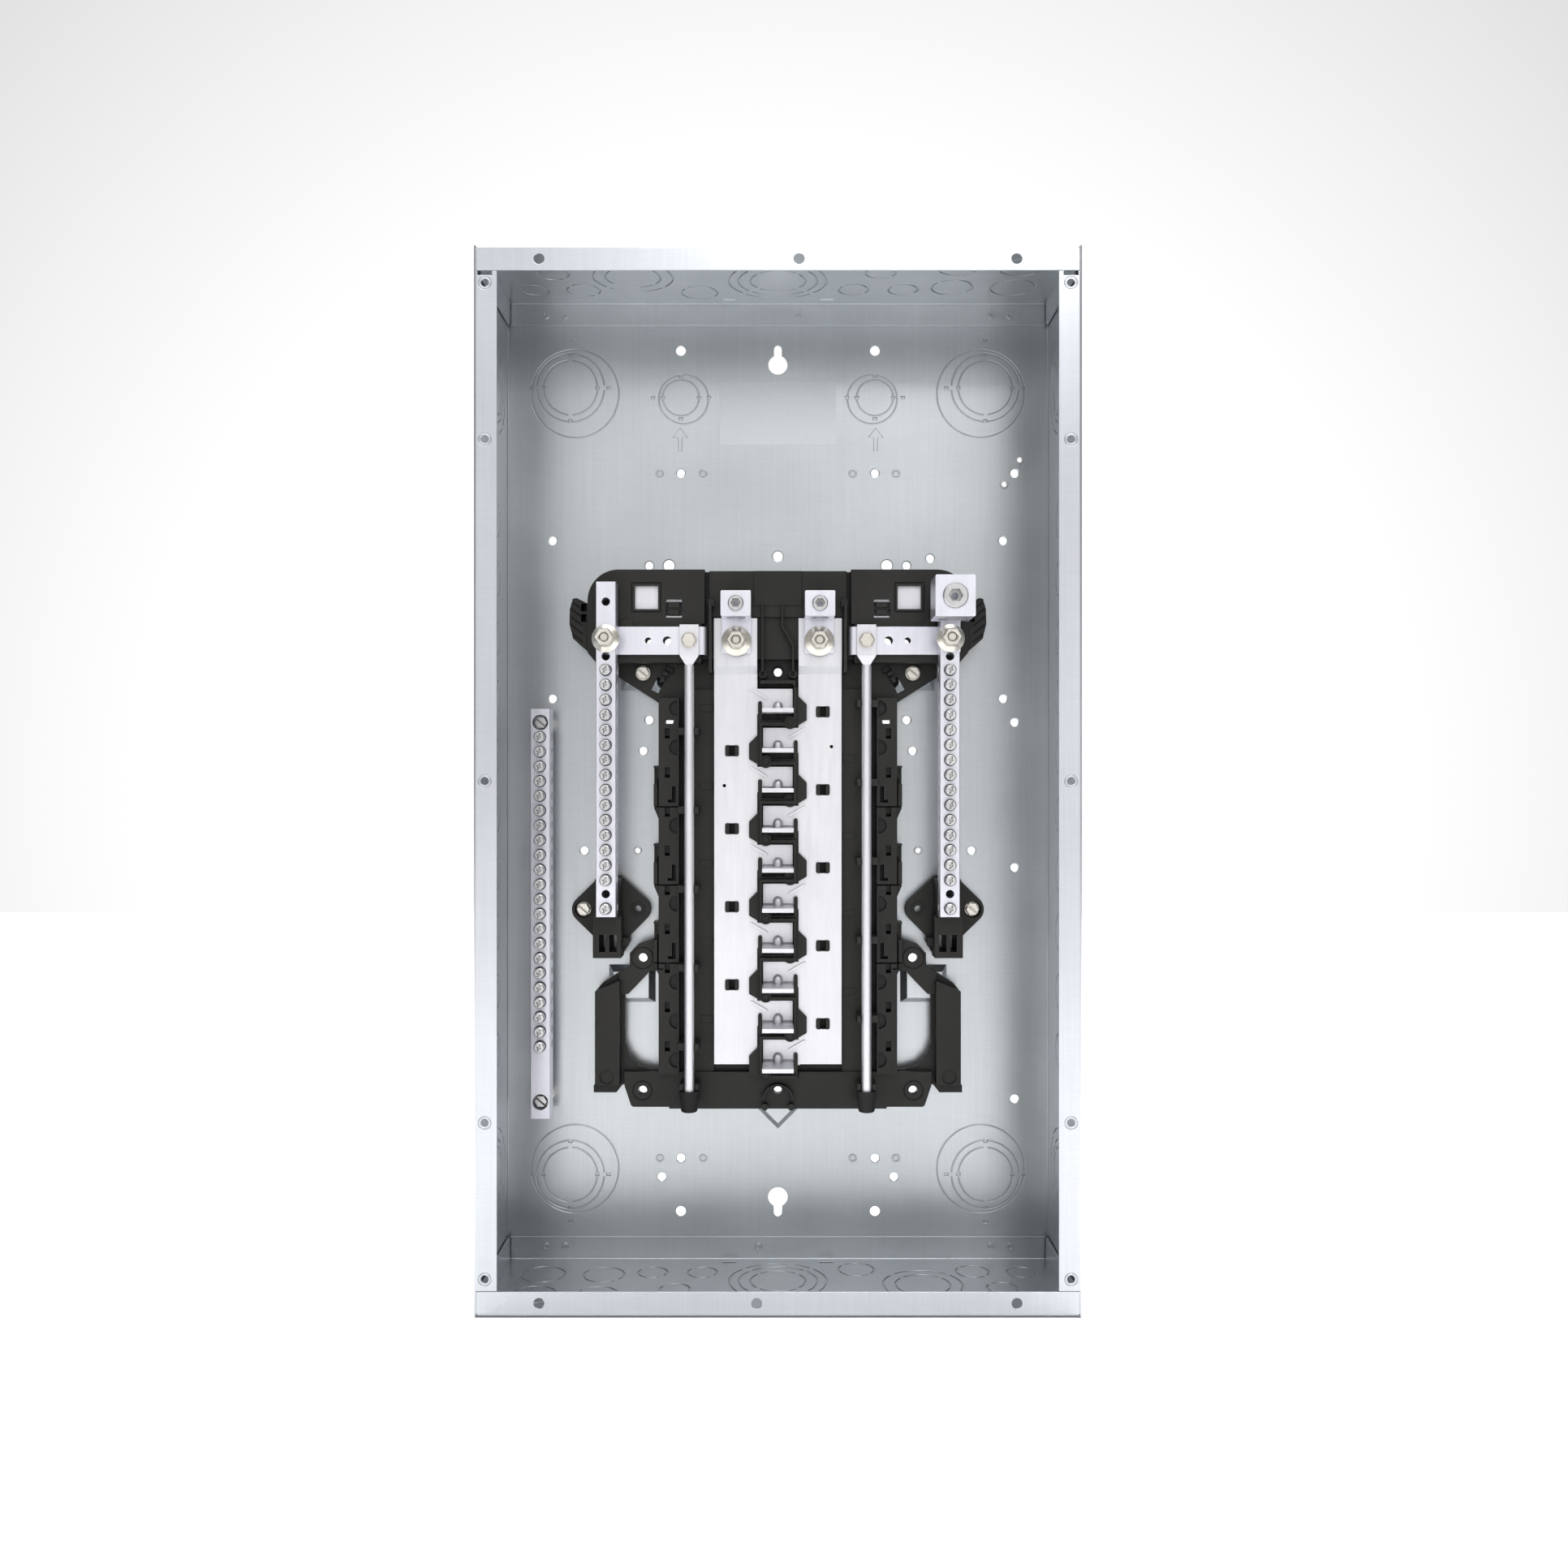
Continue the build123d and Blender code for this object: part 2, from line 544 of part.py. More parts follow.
def base_body():
    """The floor with its raised end, channel decks, ribs and breaker-hook rails."""
    outline = [(0, 80.0)] + BODY_OUTLINE + [(-x, z) for x, z in reversed(BODY_OUTLINE)]
    prism(outline, BASE_FLOOR, DECK)
    block((-92.0, 92.0), (BASE_CORNER_Z, -193.4), DECK - 1, END_DECK)
    block((-71.1, 71.1), (BASE_BOTTOM_Z, -210.0), DECK - 1, END_DECK)
    for side in (LEFT, RIGHT):
        block((side * 13.4, side * 92.0), (-194.0, -190.0), DECK - 1, END_DECK)
        block((side * 41.9, side * 61.4), (-190.5, BODY_TOP_Z), DECK - 1, CHANNEL_TOP)
        block((side * RAIL_INNER, side * RAIL_OUTER), (-190.5, 54.0), DECK - 1, RAIL_TOP)
        prism(sided(side, CORNER_OUTLINE), DECK - 1, END_DECK)
        prism(sided(side, ARM_OUTLINE), DECK - 1, ARM_TOP)
        prism(sided(side, EAR_OUTLINE), DECK - 1, CHANNEL_TOP)
        for k in range(LATCHES):
            top = LATCH_FIRST_Z - 2 * PITCH * k
            ledge = [(-77.0, top), (-80.9, top), (-80.9, top - 27.0), (-77.0, top - 36.0)]
            prism(sided(side, ledge), BASE_FLOOR, RAIL_TOP - 2)
        # cross ribs and a long rib carry the bus bar
        for k in range(10):
            z = 52.0 - PITCH * k
            block((side * 15.0, side * 41.4), (z, z + 2.0), DECK - 1, BUS_TOP - METAL)
        block((side * 14.0, side * 15.8), (BUS_BOTTOM_Z + 1, BODY_TOP_Z - 2), DECK - 1, BUS_TOP - METAL)
        for k in range(CROSS_BANDS[side]):
            z = CROSS_BAND_Z[side] - 2 * PITCH * k
            block((side * 42.5, side * 50.6), (z, z + 4.2), CHANNEL_TOP - 1, CHANNEL_TOP + 0.6)


def base_wings():
    """The hollow upper deck: a wing on each side of a lower middle."""
    for side in (LEFT, RIGHT):
        with BuildSketch(front_view(BASE_FLOOR)) as outline:
            Polygon(*sided(side, WING_OUTLINE), align=None)
            upper = outline.vertices().group_by(Axis.Y)[-1].sort_by(Axis.X)
            fillet(upper[0] if side == LEFT else upper[-1], WING_CORNER)
        extrude(outline.sketch, amount=WING_TOP - BASE_FLOOR)
    block((-WING_INNER - 1, WING_INNER + 1), (79.0, WING_TOP_Z - 0.6), BASE_FLOOR, MIDDLE_TOP)
    # the deck steps up behind the bus bars' ends, and once more between the lugs
    middle_end = WING_TOP_Z - 0.6
    block((-MIDDLE_HALF, MIDDLE_HALF), (LEDGE_Z, middle_end), MIDDLE_TOP - 1, LEDGE_TOP)
    block((-15.5, 15.5), (LEDGE_Z + 7.4, middle_end), MIDDLE_TOP - 1, LEDGE_TOP + 0.8)
    for side in (LEFT, RIGHT):
        prism(sided(side, WING_HOLLOW), BASE_FLOOR - 1, WING_TOP - BASE_SKIN, Mode.SUBTRACT)
        # pillars under the straps and bars
        for x in (ROD_X, BAR_X):
            post(side * x, STRAP_Z, 4.5, BASE_FLOOR, WING_TOP - 1)
    hollow_x = (-MIDDLE_HALF + 3, MIDDLE_HALF - 3)
    block(hollow_x, (83.0, WING_TOP_Z - 3.6), BASE_FLOOR - 1, MIDDLE_TOP - BASE_SKIN, Mode.SUBTRACT)
    # dividers beside the main lugs
    for side in (LEFT, RIGHT):
        wall((side * 43.6, 71.0), (side * 43.6, 114.0), 1.8, DECK - 1, WING_TOP + 4)
        trench_x = (side * WING_TRENCH[0], side * WING_TRENCH[1])
        block(trench_x, (102.0, WING_TOP_Z + 1), MIDDLE_TOP - 2.2, WING_TOP + 1, Mode.SUBTRACT)
        # a round boss behind the strap and a catch on the outer divider
        post(side * 97.6, 100.5, 4.3, WING_TOP - 1, WING_TOP + 1.2)
        strap_edge = STRAP_Z + STRAP_WIDTH / 2 + 0.4
        z_strap = (strap_edge - 5.0, strap_edge)
        block((side * 92.0, side * 103.0), z_strap, WING_TOP, WING_TOP + 2, Mode.SUBTRACT)
        block((side * 41.0, side * 45.0), (112.6, 117.4), MIDDLE_TOP - 1, WING_TOP + 2)
    # the walls between the lugs, the right-hand one cranked
    cranked = [(9.8, 70.0), (9.8, 87.6), (2.9, 99.9), (2.9, 114.0)]
    wall((-9.9, 70.0), (-9.9, 114.0), MIDDLE_WALL, DECK - 1, WING_TOP)
    for start, end in zip(cranked, cranked[1:]):
        wall(start, end, MIDDLE_WALL, DECK - 1, WING_TOP)


def base_middle_head():
    """The lower block between the bus bars, above the first finger."""
    block((-12.8, 12.8), (61.6, 80.5), DECK - 1, 13.5)
    block((-11.4, 11.4), (63.1, 65.2), DECK - 1, MIDDLE_RIDGE_TOP)
    block((9.9, 11.4), (61.6, 64.0), DECK - 1, MIDDLE_RIDGE_TOP)
    for side in (LEFT, RIGHT):
        post(side * 9.8, 69.5, 2.8, DECK - 1, BUS_TOP + 1)
        post(side * 9.8, 69.5, 1.4, BUS_TOP - 0.4, WING_TOP + 1, Mode.SUBTRACT)
        post(side * 8.6, -212.0, 2.2, END_DECK - 1, END_DECK + 5)
    # half-round wall round the lower middle screw hole
    with BuildSketch(front_view(END_DECK - 1)) as outline:
        with Locations((0, HOLE_CORNER_Z - 5.5)):
            Circle(10.3)
            Circle(8.9, mode=Mode.SUBTRACT)
        with Locations((0, HOLE_CORNER_Z - 15.5)):
            Rectangle(24, 20, mode=Mode.SUBTRACT)
    extrude(outline.sketch, amount=5.0)
    # ears beside the rails' lower ends
    for side in (LEFT, RIGHT):
        for x_ear in ((ROD_X - 6.2, ROD_X - 3.6), (ROD_X + 3.6, ROD_X + 6.2)):
            block((side * x_ear[0], side * x_ear[1]), (-198.9, -194.8), END_DECK - 1, ROD_HEIGHT + 1)


def rail_scoop(side, z):
    """A half-round hollow in a rail's inner edge, where a breaker's hook slides in."""
    with BuildSketch(front_view(RAIL_TOP - RAIL_SCOOP_DEPTH)) as outline:
        with Locations((side * RAIL_SCOOP_X, z)):
            Circle(RAIL_SCOOP)
        with Locations((side * (RAIL_SCOOP_X - RAIL_SCOOP), z)):
            Rectangle(2 * RAIL_SCOOP, 3 * RAIL_SCOOP, mode=Mode.SUBTRACT)
    extrude(outline.sketch, amount=RAIL_SCOOP_DEPTH + 1, mode=Mode.SUBTRACT)


def rail_latch(side, top):
    """Slits that free a latch of the rail, and the notches of its tip."""
    cuts = [
        ((64.0, 81.5), (top - 27.2, top - 27.2 + LATCH_SLIT)),
        ((77.4, 77.4 + LATCH_SLIT), (top - 27.0, top - 8.0)),
        ((78.6, 81.5), (top - 12.0, top - 1.5)),
        ((66.4, 68.8), (top - 24.0, top - 13.5)),
        ((68.6, 71.4), (top - 24.0, top - 22.2)),
    ]
    for (x_from, x_to), z_range in cuts:
        block((side * x_from, side * x_to), z_range, RAIL_TOP - 6.5, RAIL_TOP + 1, Mode.SUBTRACT)


def base_rail_windows():
    """Hook windows in the rails, a pocket and a ramped lip for each breaker space."""
    for side in (LEFT, RIGHT):
        for k in range(HOOKS):
            z = HOOK_FIRST_Z - PITCH * k
            block((side * 70.2, side * 73.4), (z - 4.4, z + 2.2), RAIL_TOP - 3, RAIL_TOP + 1, Mode.SUBTRACT)
            block((side * 70.2, side * 73.4), (z - 4.4, z - 2.6), DECK + 1, RAIL_TOP + 1, Mode.SUBTRACT)
        scooped = [k for k in range(HOOKS + 1) if k not in (2, 4, 6)]
        for k in scooped:
            rail_scoop(side, HOOK_FIRST_Z + 15.2 - PITCH * k)
        for k in range(LATCHES):
            z = LATCH_FIRST_Z - 2 * PITCH * k
            rail_latch(side, z)
        block((side * 67.5, side * 73.5), (37.2, 40.0), BASE_FLOOR - 1, RAIL_TOP + 1, Mode.SUBTRACT)
        for k in range(5):
            z = CLIP_FIRST_Z[side] - 2 * PITCH * k
            block((side * 51.0, side * 53.6), (z - 2.3, z + 2.3), CHANNEL_TOP - 1, ROD_HEIGHT + 1)
            block((side * 60.4, side * 64.4), (z - 2.3, z + 2.3), DECK - 1, ROD_HEIGHT - 1)


def latch_hooks(side):
    """A crosspiece with two hooks inside a latch window of the wing."""
    x_bridge = (side * (LATCH_X - 6.0), side * (LATCH_X + 6.0))
    block(x_bridge, (LATCH_Z - 1.1, LATCH_Z + 0.9), WING_TOP - 5.0, WING_TOP - 2.4)
    for z_range in ((LATCH_Z + 0.8, LATCH_Z + 4.2), (LATCH_Z - 4.2, LATCH_Z - 1.0)):
        block((side * (LATCH_X - 3.6), side * (LATCH_X + 3.6)), z_range, WING_TOP - 5.0, WING_TOP - 1.4)


def base_openings():
    """Windows and holes through the base."""
    for side in (LEFT, RIGHT):
        prism(sided(side, HANDLE_WINDOW), BASE_FLOOR - 1, ARM_TOP + 1, Mode.SUBTRACT)
        block((side * 105.0, side * 117.0), (-140.0, -196.0), BASE_FLOOR - 1, ARM_TOP - 2.5, Mode.SUBTRACT)
        post(side * 111.4, -192.6, 4.7, ARM_TOP - 1.4, ARM_TOP + 1, Mode.SUBTRACT)
        x_window = (side * (WINDOW_X - WINDOW / 2), side * (WINDOW_X + WINDOW / 2))
        z_window = (WINDOW_Z - WINDOW / 2, WINDOW_Z + WINDOW / 2)
        block(x_window, z_window, BASE_FLOOR, WING_TOP + 1, Mode.SUBTRACT)
        x_latch = (side * (LATCH_X - 5.2), side * (LATCH_X + 5.2))
        block(x_latch, (LATCH_Z - 6.0, LATCH_Z + 6.0), BASE_FLOOR, WING_TOP + 1, Mode.SUBTRACT)
        latch_hooks(side)
        # a square groove round the window and clearance holes under the strap's holes
        with BuildSketch(front_view(WING_TOP - FRAME_GROOVE)) as outline:
            with Locations((side * WINDOW_X, WINDOW_Z)):
                RectangleRounded(WINDOW_FRAME, WINDOW_FRAME, 1.0)
                inner_frame = WINDOW_FRAME - 2 * FRAME_GROOVE
                RectangleRounded(inner_frame, inner_frame, 0.8, mode=Mode.SUBTRACT)
        extrude(outline.sketch, amount=1 + FRAME_GROOVE, mode=Mode.SUBTRACT)
        for x, radius in STRAP_HOLES:
            x_hole, z_hole = side * (x - WING_HOLE_SHIFT), STRAP_Z - WING_HOLE_SHIFT
            post(x_hole, z_hole, radius + WING_HOLE_MARGIN, BASE_FLOOR - 1, WING_TOP + 1, Mode.SUBTRACT)
        for x, z, ring_radius in ((MOUNT_SCREW_X, HOLE_EAR_Z, 7.0), (MOUNT_SCREW_X, HOLE_CORNER_Z, 6.2)):
            post(side * x, z, 3.0, BASE_FLOOR - 1, RAIL_TOP, Mode.SUBTRACT)
            top = CHANNEL_TOP if z == HOLE_EAR_Z else END_DECK
            ring(side * x, z, ring_radius, 0.8, top - 0.7, top + 1, Mode.SUBTRACT)
        for x_gap, z_gap in (((77.7, 78.5), (-105.0, -122.4)), ((74.6, 78.5), (-121.8, -122.6))):
            x_range = (side * x_gap[0], side * x_gap[1])
            block(x_range, z_gap, CHANNEL_TOP - 2.5, RAIL_TOP + 1, Mode.SUBTRACT)
        shank_hole = MOUNT_SHANK + SCREW_CLEAR
        post(side * MOUNT_SCREW_X, MOUNT_SCREW_Z, shank_hole, BASE_FLOOR - 1, DECK + 1, Mode.SUBTRACT)
        # sloping latch window in the gusset
        with BuildSketch(front_view(BASE_FLOOR - 1)) as outline:
            with Locations((side * 78.8, 63.0)):
                Rectangle(5.4, 9.4, rotation=side * 28)
        extrude(outline.sketch, amount=6.0, mode=Mode.SUBTRACT)
        with BuildSketch(front_view(DECK - 1)) as outline:
            for x, z, width, length in ((75.6, 66.3, 2.4, 3.6), (73.4, 70.2, 3.4, 2.4)):
                with Locations((side * x, z)):
                    Rectangle(width, length, rotation=side * 28)
        extrude(outline.sketch, amount=5.0)
        with BuildSketch(front_view(DECK - 1.2)) as outline:
            with Locations((side * 71.0, 73.2)):
                Rectangle(6.4, 4.4, rotation=side * 28)
                Rectangle(4.6, 2.6, rotation=side * 28, mode=Mode.SUBTRACT)
        extrude(outline.sketch, amount=2.2, mode=Mode.SUBTRACT)
    post(0, MIDDLE_HOLE_Z, 2.9, BASE_FLOOR - 1, BUS_TOP, Mode.SUBTRACT)
    post(0, MIDDLE_HOLE_Z, 4.4, DECK, BUS_TOP, Mode.SUBTRACT)
    post(0, HOLE_CORNER_Z, 2.6, BASE_FLOOR - 1, END_DECK + 1, Mode.SUBTRACT)
    for side in (LEFT, RIGHT):
        for x, z in ((BAR_X, STRAP_Z), (LUG_X, STRAP_Z)):
            post(side * x, z, STUD_RADIUS + SCREW_CLEAR, BASE_FLOOR + 4, WING_TOP + 1, Mode.SUBTRACT)
        post(side * ROD_X, STRAP_Z, STUD_RADIUS + SCREW_CLEAR, BASE_FLOOR + 4, WING_TOP + 1, Mode.SUBTRACT)


def make_interior_base():
    """The moulded base that carries the bus bars, neutral bars and rails."""
    with BuildPart() as base:
        base_body()
        base_wings()
        base_middle_head()
        base_rail_windows()
        base_openings()
    return finished(base, "interior_base")



# ---------------------------------------------------------------- stab barrier and bus bars
BARRIER_LOW = 11.3
BARRIER_PLATE = 21.0  # top of the bulges and of the low walls
BARRIER_TOP = 25.0  # top of the zig-zag ridge
GAP = 0.3  # between the barrier and the metal
RIDGE = 2.0
# outline of a bulge, as distances from the middle and from the blade
BULGE = [(10.4, 17.4), (12.9, 17.4), (12.9, 12.0), (18.7, 6.2), (18.7, -4.1), (10.4, -9.0)]
PIN = (7.9, -5.4)  # middle of the round boss beside a bulge
PINLESS = (2, 4, 6)  # stabs whose boss is low and plain


def stab_z(index):
    """Lower face of a stab's blade. The first is at the top."""
    return FIRST_STAB_Z - PITCH * index


def stab_side(index):
    """The side whose bus bar carries a stab: the left one first, then by turns."""
    return LEFT if index % 2 == 0 else RIGHT


def make_stab_barrier():
    """The zig-zag insulating spine that keeps the two rows of fingers apart."""
    with BuildPart() as barrier:
        block((-11.0, 11.0), (stab_z(STABS - 1) - 8.0, stab_z(0) - GAP), BARRIER_LOW, BUS_TOP - METAL - GAP)
        for index in range(STABS):
            z = stab_z(index)
            near, far = stab_side(index), -stab_side(index)
            block((-12.9, 12.9), (z - 8.0, z - GAP), BARRIER_LOW, BUS_TOP - METAL)
            block((-10.5, 10.5), (z - 7.0, z - 3.9), BARRIER_LOW, BARRIER_PLATE)
            wall((-10.9, z - 6.6), (10.9, z - 6.6), RIDGE, BARRIER_LOW, BARRIER_TOP)
            # the far side's wall with its bulge, ridge and boss
            ridge_top = z + (17.4 if index == 0 else 19.8)
            block((far * 10.4, far * 12.9), (z - 8.0, z + 17.4), BARRIER_LOW, BARRIER_PLATE)
            block((far * 10.3, far * 11.9), (z - 7.0, ridge_top), BARRIER_PLATE - 1, BARRIER_TOP)
            prism([(far * x, z + dz) for x, dz in BULGE], BUS_TOP + GAP, BARRIER_PLATE)
            post(far * PIN[0], z + PIN[1], 4.4, BUS_TOP + GAP, BARRIER_PLATE)
            if index not in PINLESS:
                post(far * PIN[0], z + PIN[1], 3.6, BARRIER_LOW, BARRIER_TOP + 0.8)
                ring(far * PIN[0], z + PIN[1], 2.3, 1.0, BARRIER_TOP + 0.2, BARRIER_TOP + 2, Mode.SUBTRACT)
            # the near side's low wall reaches over the finger
            block((near * 10.4, near * 12.9), (z - 8.0, z - GAP), BARRIER_LOW, BARRIER_PLATE)
            wall((near * 11.6, z - 6.6), (near * 11.6, z + 7.0), 2.6, BUS_TOP + GAP, BARRIER_PLATE)
            for x in (-4.2, 4.2) if index in PINLESS else (near * 0.8, near * 7.0):
                block((x - 0.3, x + 0.3), (z - 4.0, z - GAP), BARRIER_LOW, BUS_TOP)
    return finished(barrier, "stab_barrier")


CLIP_WINDOW = (8.9, 7.2)
CLIP_CORNER = 1.2
CLIP_GAP, CLIP_MOUTH = 0.1, 3.8  # clearance in the window, and the space between a clip's legs
GUSSET, GUSSET_LENGTH, GUSSET_SHIFT = 3.2, 2.6, 0.8
FOOT_BEND = 1.5
CLIP_X = {LEFT: -29.9, RIGHT: 29.3}
BUS_CLIP_Z = {LEFT: [19.7 - 50.8 * k for k in range(4)], RIGHT: [45.1 - 50.8 * k for k in range(5)]}
LUG_X = 26.8


def bus_profile():
    """Side view of a bus bar, as (height, z): low and flat, then joggled up to the lug."""
    low, high = BUS_TOP - METAL, BUS_TOP
    return [
        (low, BUS_BOTTOM_Z),
        (low, JOGGLE_LOW_Z),
        (low + JOGGLE, JOGGLE_HIGH_Z),
        (low + JOGGLE, BUS_TOP_Z),
        (high + JOGGLE, BUS_TOP_Z),
        (high + JOGGLE, JOGGLE_HIGH_Z),
        (high, JOGGLE_LOW_Z),
        (high, BUS_BOTTOM_Z),
    ]


def make_bus_bar(name, side):
    """A bus bar with its joggled lug end, five fingers and five upright stabs."""
    x_bar = (side * BUS_INNER, side * BUS_OUTER)
    low, high = BUS_TOP - METAL, BUS_TOP
    with BuildPart() as bar:
        with BuildSketch(Plane.YZ.offset(min(x_bar))):
            Polygon(*[(-(SHEET + height), z) for height, z in bus_profile()], align=None)
        extrude(amount=BUS_OUTER - BUS_INNER)
        for index in range(STABS):
            if stab_side(index) != side:
                continue
            z = stab_z(index)
            block((side * (BUS_INNER + 1), -side * 9.7), (z, z + FINGER_LENGTH), low, high)
            block((-STAB_HALF_WIDTH, STAB_HALF_WIDTH), (z, z + METAL), low, STAB_TOP)
            # the blade's foot is rounded, with a domed gusset, and a rib crosses the finger
            z_foot = z + METAL - 0.1
            foot = [(high - 0.1, z_foot), (high + FOOT_BEND, z_foot), (high - 0.1, z_foot + FOOT_BEND)]
            with BuildSketch(Plane.YZ.offset(-STAB_HALF_WIDTH + 0.3)):
                Polygon(*[(-(SHEET + height), up) for height, up in foot], align=None)
            extrude(amount=2 * STAB_HALF_WIDTH - 0.6)
            gusset_y = -(SHEET + high + GUSSET_SHIFT)
            with BuildSketch(Plane.XY.offset(z + METAL - 0.1)):
                with Locations((0, gusset_y)):
                    Circle(GUSSET)
            extrude(amount=GUSSET_LENGTH + 0.1)
            with Locations((0, gusset_y, z + METAL + GUSSET_LENGTH)):
                Sphere(GUSSET)
            wall((side * 17.3, z + 15.8), (side * 7.4, z + 10.1), 1.5, high - 0.2, high + 1.1)
            # a hole near the blade's far edge
            with BuildSketch(Plane.XY.offset(z - 1)):
                with Locations((-side * 7.8, -(SHEET + 32.0))):
                    Circle(1.5)
            extrude(amount=METAL + 2, mode=Mode.SUBTRACT)
        with BuildSketch(front_view(low - 1)) as windows:
            with Locations(*[(CLIP_X[side], z) for z in BUS_CLIP_Z[side]]):
                RectangleRounded(*CLIP_WINDOW, CLIP_CORNER)
        extrude(windows.sketch, amount=METAL + 2, mode=Mode.SUBTRACT)
        post(side * 34.9, -3.0 if side == LEFT else 22.4, 1.1, low - 1, high + 1, Mode.SUBTRACT)
        post(side * LUG_X, STRAP_Z, STUD_RADIUS + SCREW_CLEAR, low, high + JOGGLE + 1, Mode.SUBTRACT)
    return finished(bar, f"{name}_bus_bar")


def make_bus_clips():
    """The base's snap clips that hold the bus bars down."""
    width = CLIP_WINDOW[0] - 2 * CLIP_GAP
    height = CLIP_WINDOW[1] - 2 * CLIP_GAP
    with BuildPart() as clips:
        with BuildSketch(front_view(DECK)):
            for side in (LEFT, RIGHT):
                with Locations(*[(CLIP_X[side], z) for z in BUS_CLIP_Z[side]]):
                    RectangleRounded(width, height, CLIP_CORNER)
                    Rectangle(CLIP_MOUTH, CLIP_WINDOW[1] + 1, mode=Mode.SUBTRACT)
        extrude(amount=BUS_TOP + 1 - DECK)
    return finished(clips, "bus_bar_clips")


# ---------------------------------------------------------------- lugs
LUG_WIDTH, LUG_LOW_Z, LUG_HIGH_Z = 19.2, 104.8, 121.0
LUG_FLOOR = BUS_TOP + JOGGLE
LUG_TOP = 42.0
TANG = 2.5
LUG_BORE = 6.2
LUG_SCREW, LUG_SCREW_LENGTH, LUG_SCREW_SOCKET = 4.8, 6.2, 5.6
NEUTRAL_LUG_Z = (101.3, 127.0)
NEUTRAL_LUG_WIDTH, NEUTRAL_LUG_TOP = 24.8, 68.6
NEUTRAL_BORE = 8.9
NEUTRAL_SCREW, NEUTRAL_SCREW_LENGTH, NEUTRAL_SCREW_SOCKET = 7.7, 9.0, 7.9


def make_lug(label, x, width, z_range, floor, top, bore, screw, tang_z):
    """A box lug on a flat tang, bored for the wire and tapped for the set screw."""
    middle_z = (z_range[0] + z_range[1]) / 2
    bore_height = floor + TANG + bore
    with BuildPart() as lug:
        block((x - width / 2, x + width / 2), z_range, floor, top)
        chamfer(lug.edges().filter_by(Axis.Y), 0.6)
        tang_half = min(width, 19.0) / 2 if label != "neutral_lug" else BAR_WIDTH / 2
        block((x - tang_half, x + tang_half), (tang_z, z_range[0] + 2), floor, floor + TANG)
        with BuildSketch(Plane.XY.offset(z_range[0] - 0.01)):
            with Locations((x, -(SHEET + bore_height))):
                Circle(bore)
        extrude(amount=z_range[1] - z_range[0] + 1, mode=Mode.SUBTRACT)
        post(x, middle_z, screw + SCREW_CLEAR, bore_height, top + 1, Mode.SUBTRACT)
        post(x, STRAP_Z, STUD_RADIUS + SCREW_CLEAR, floor - 1, floor + TANG + 1, Mode.SUBTRACT)
    return finished(lug, label)


SOCKET_SHARE = 0.7  # of a set screw's length


def make_socket_screw(label, x, z, radius, top, length, socket):
    """A headless set screw with a hexagon socket and a bore, backed out just clear of the wire."""
    with BuildPart() as screw:
        post(x, z, radius, top - length, top)
        chamfer(screw.edges().filter_by(GeomType.CIRCLE), 0.5)
        with BuildSketch(front_view(top)):
            with Locations((x, z)):
                RegularPolygon(socket / 2, 6, major_radius=False)
        extrude(amount=-length * SOCKET_SHARE, mode=Mode.SUBTRACT)
        post(x, z, socket * 0.3, top - length - 1, top, Mode.SUBTRACT)
    return finished(screw, label)


def make_stud(label, x, low, top):
    """A stud pressed into the base."""
    with BuildPart() as stud:
        post(x, STRAP_Z, STUD_RADIUS, low, top)
        chamfer(stud.edges().filter_by(GeomType.CIRCLE), 0.4)
    return finished(stud, label)


NUT_FLANGE, NUT_CONE, NUT_TOP = 1.0, 3.0, 12.4  # heights above the seat
NUT_FLATS = 10.4
NUT_MOUTH = 0.7  # countersink of the nut's bore
STUD_SUNK = 2.2  # the stud's end below the nut's top


def make_cone_nut(label, x, seat, flange):
    """A hexagon nut with a conical flange."""
    with BuildPart() as nut:
        for height, radius in ((0, flange), (NUT_FLANGE, flange), (NUT_CONE, NUT_FLATS * 0.56)):
            with BuildSketch(front_view(seat + height)):
                with Locations((x, STRAP_Z)):
                    Circle(radius)
        loft(ruled=True)
        with BuildSketch(front_view(seat + NUT_CONE - 0.4)):
            with Locations((x, STRAP_Z)):
                RegularPolygon(NUT_FLATS / 2, 6, major_radius=False)
        extrude(amount=NUT_TOP - NUT_CONE + 0.4)
        chamfer(nut.faces().sort_by(Axis.Y)[0].edges(), 0.5)
        post(x, STRAP_Z, STUD_RADIUS + SCREW_CLEAR, seat - 1, seat + NUT_TOP + 1, Mode.SUBTRACT)
        countersinks([(x, STRAP_Z, STUD_RADIUS + SCREW_CLEAR)], seat + NUT_TOP, NUT_MOUTH)
    return finished(nut, label)


# ---------------------------------------------------------------- neutral bars and rails
TERMINAL_SCREW, TERMINAL_BORE = 3.4, 2.8
TERMINAL_LENGTH = 9.9
SCREW_SLOT = (4.9, 1.0)
SCREW_RECESS, SCREW_RECESS_DEPTH = 2.3, 1.4
BORE_RISE = 4.4  # wire bore's centre above the bar's floor
BAR_WEB = 1.0  # metal left below a screw hole, which runs right through the wire bore
PLAIN_HOLES_Z = (113.9, 79.2, -71.8)
PLAIN_HOLE = 2.65
NEUTRAL_SCREWS_Z = [70.5 - SCREW_PITCH * k for k in range(15)] + [-81.0]
GROUND_SCREWS_Z = [GROUND_FIRST_Z - SCREW_PITCH * k for k in range(GROUND_SCREWS)]
SCREW_REST = 8.2  # a terminal screw's tip above the bar's floor, backed out


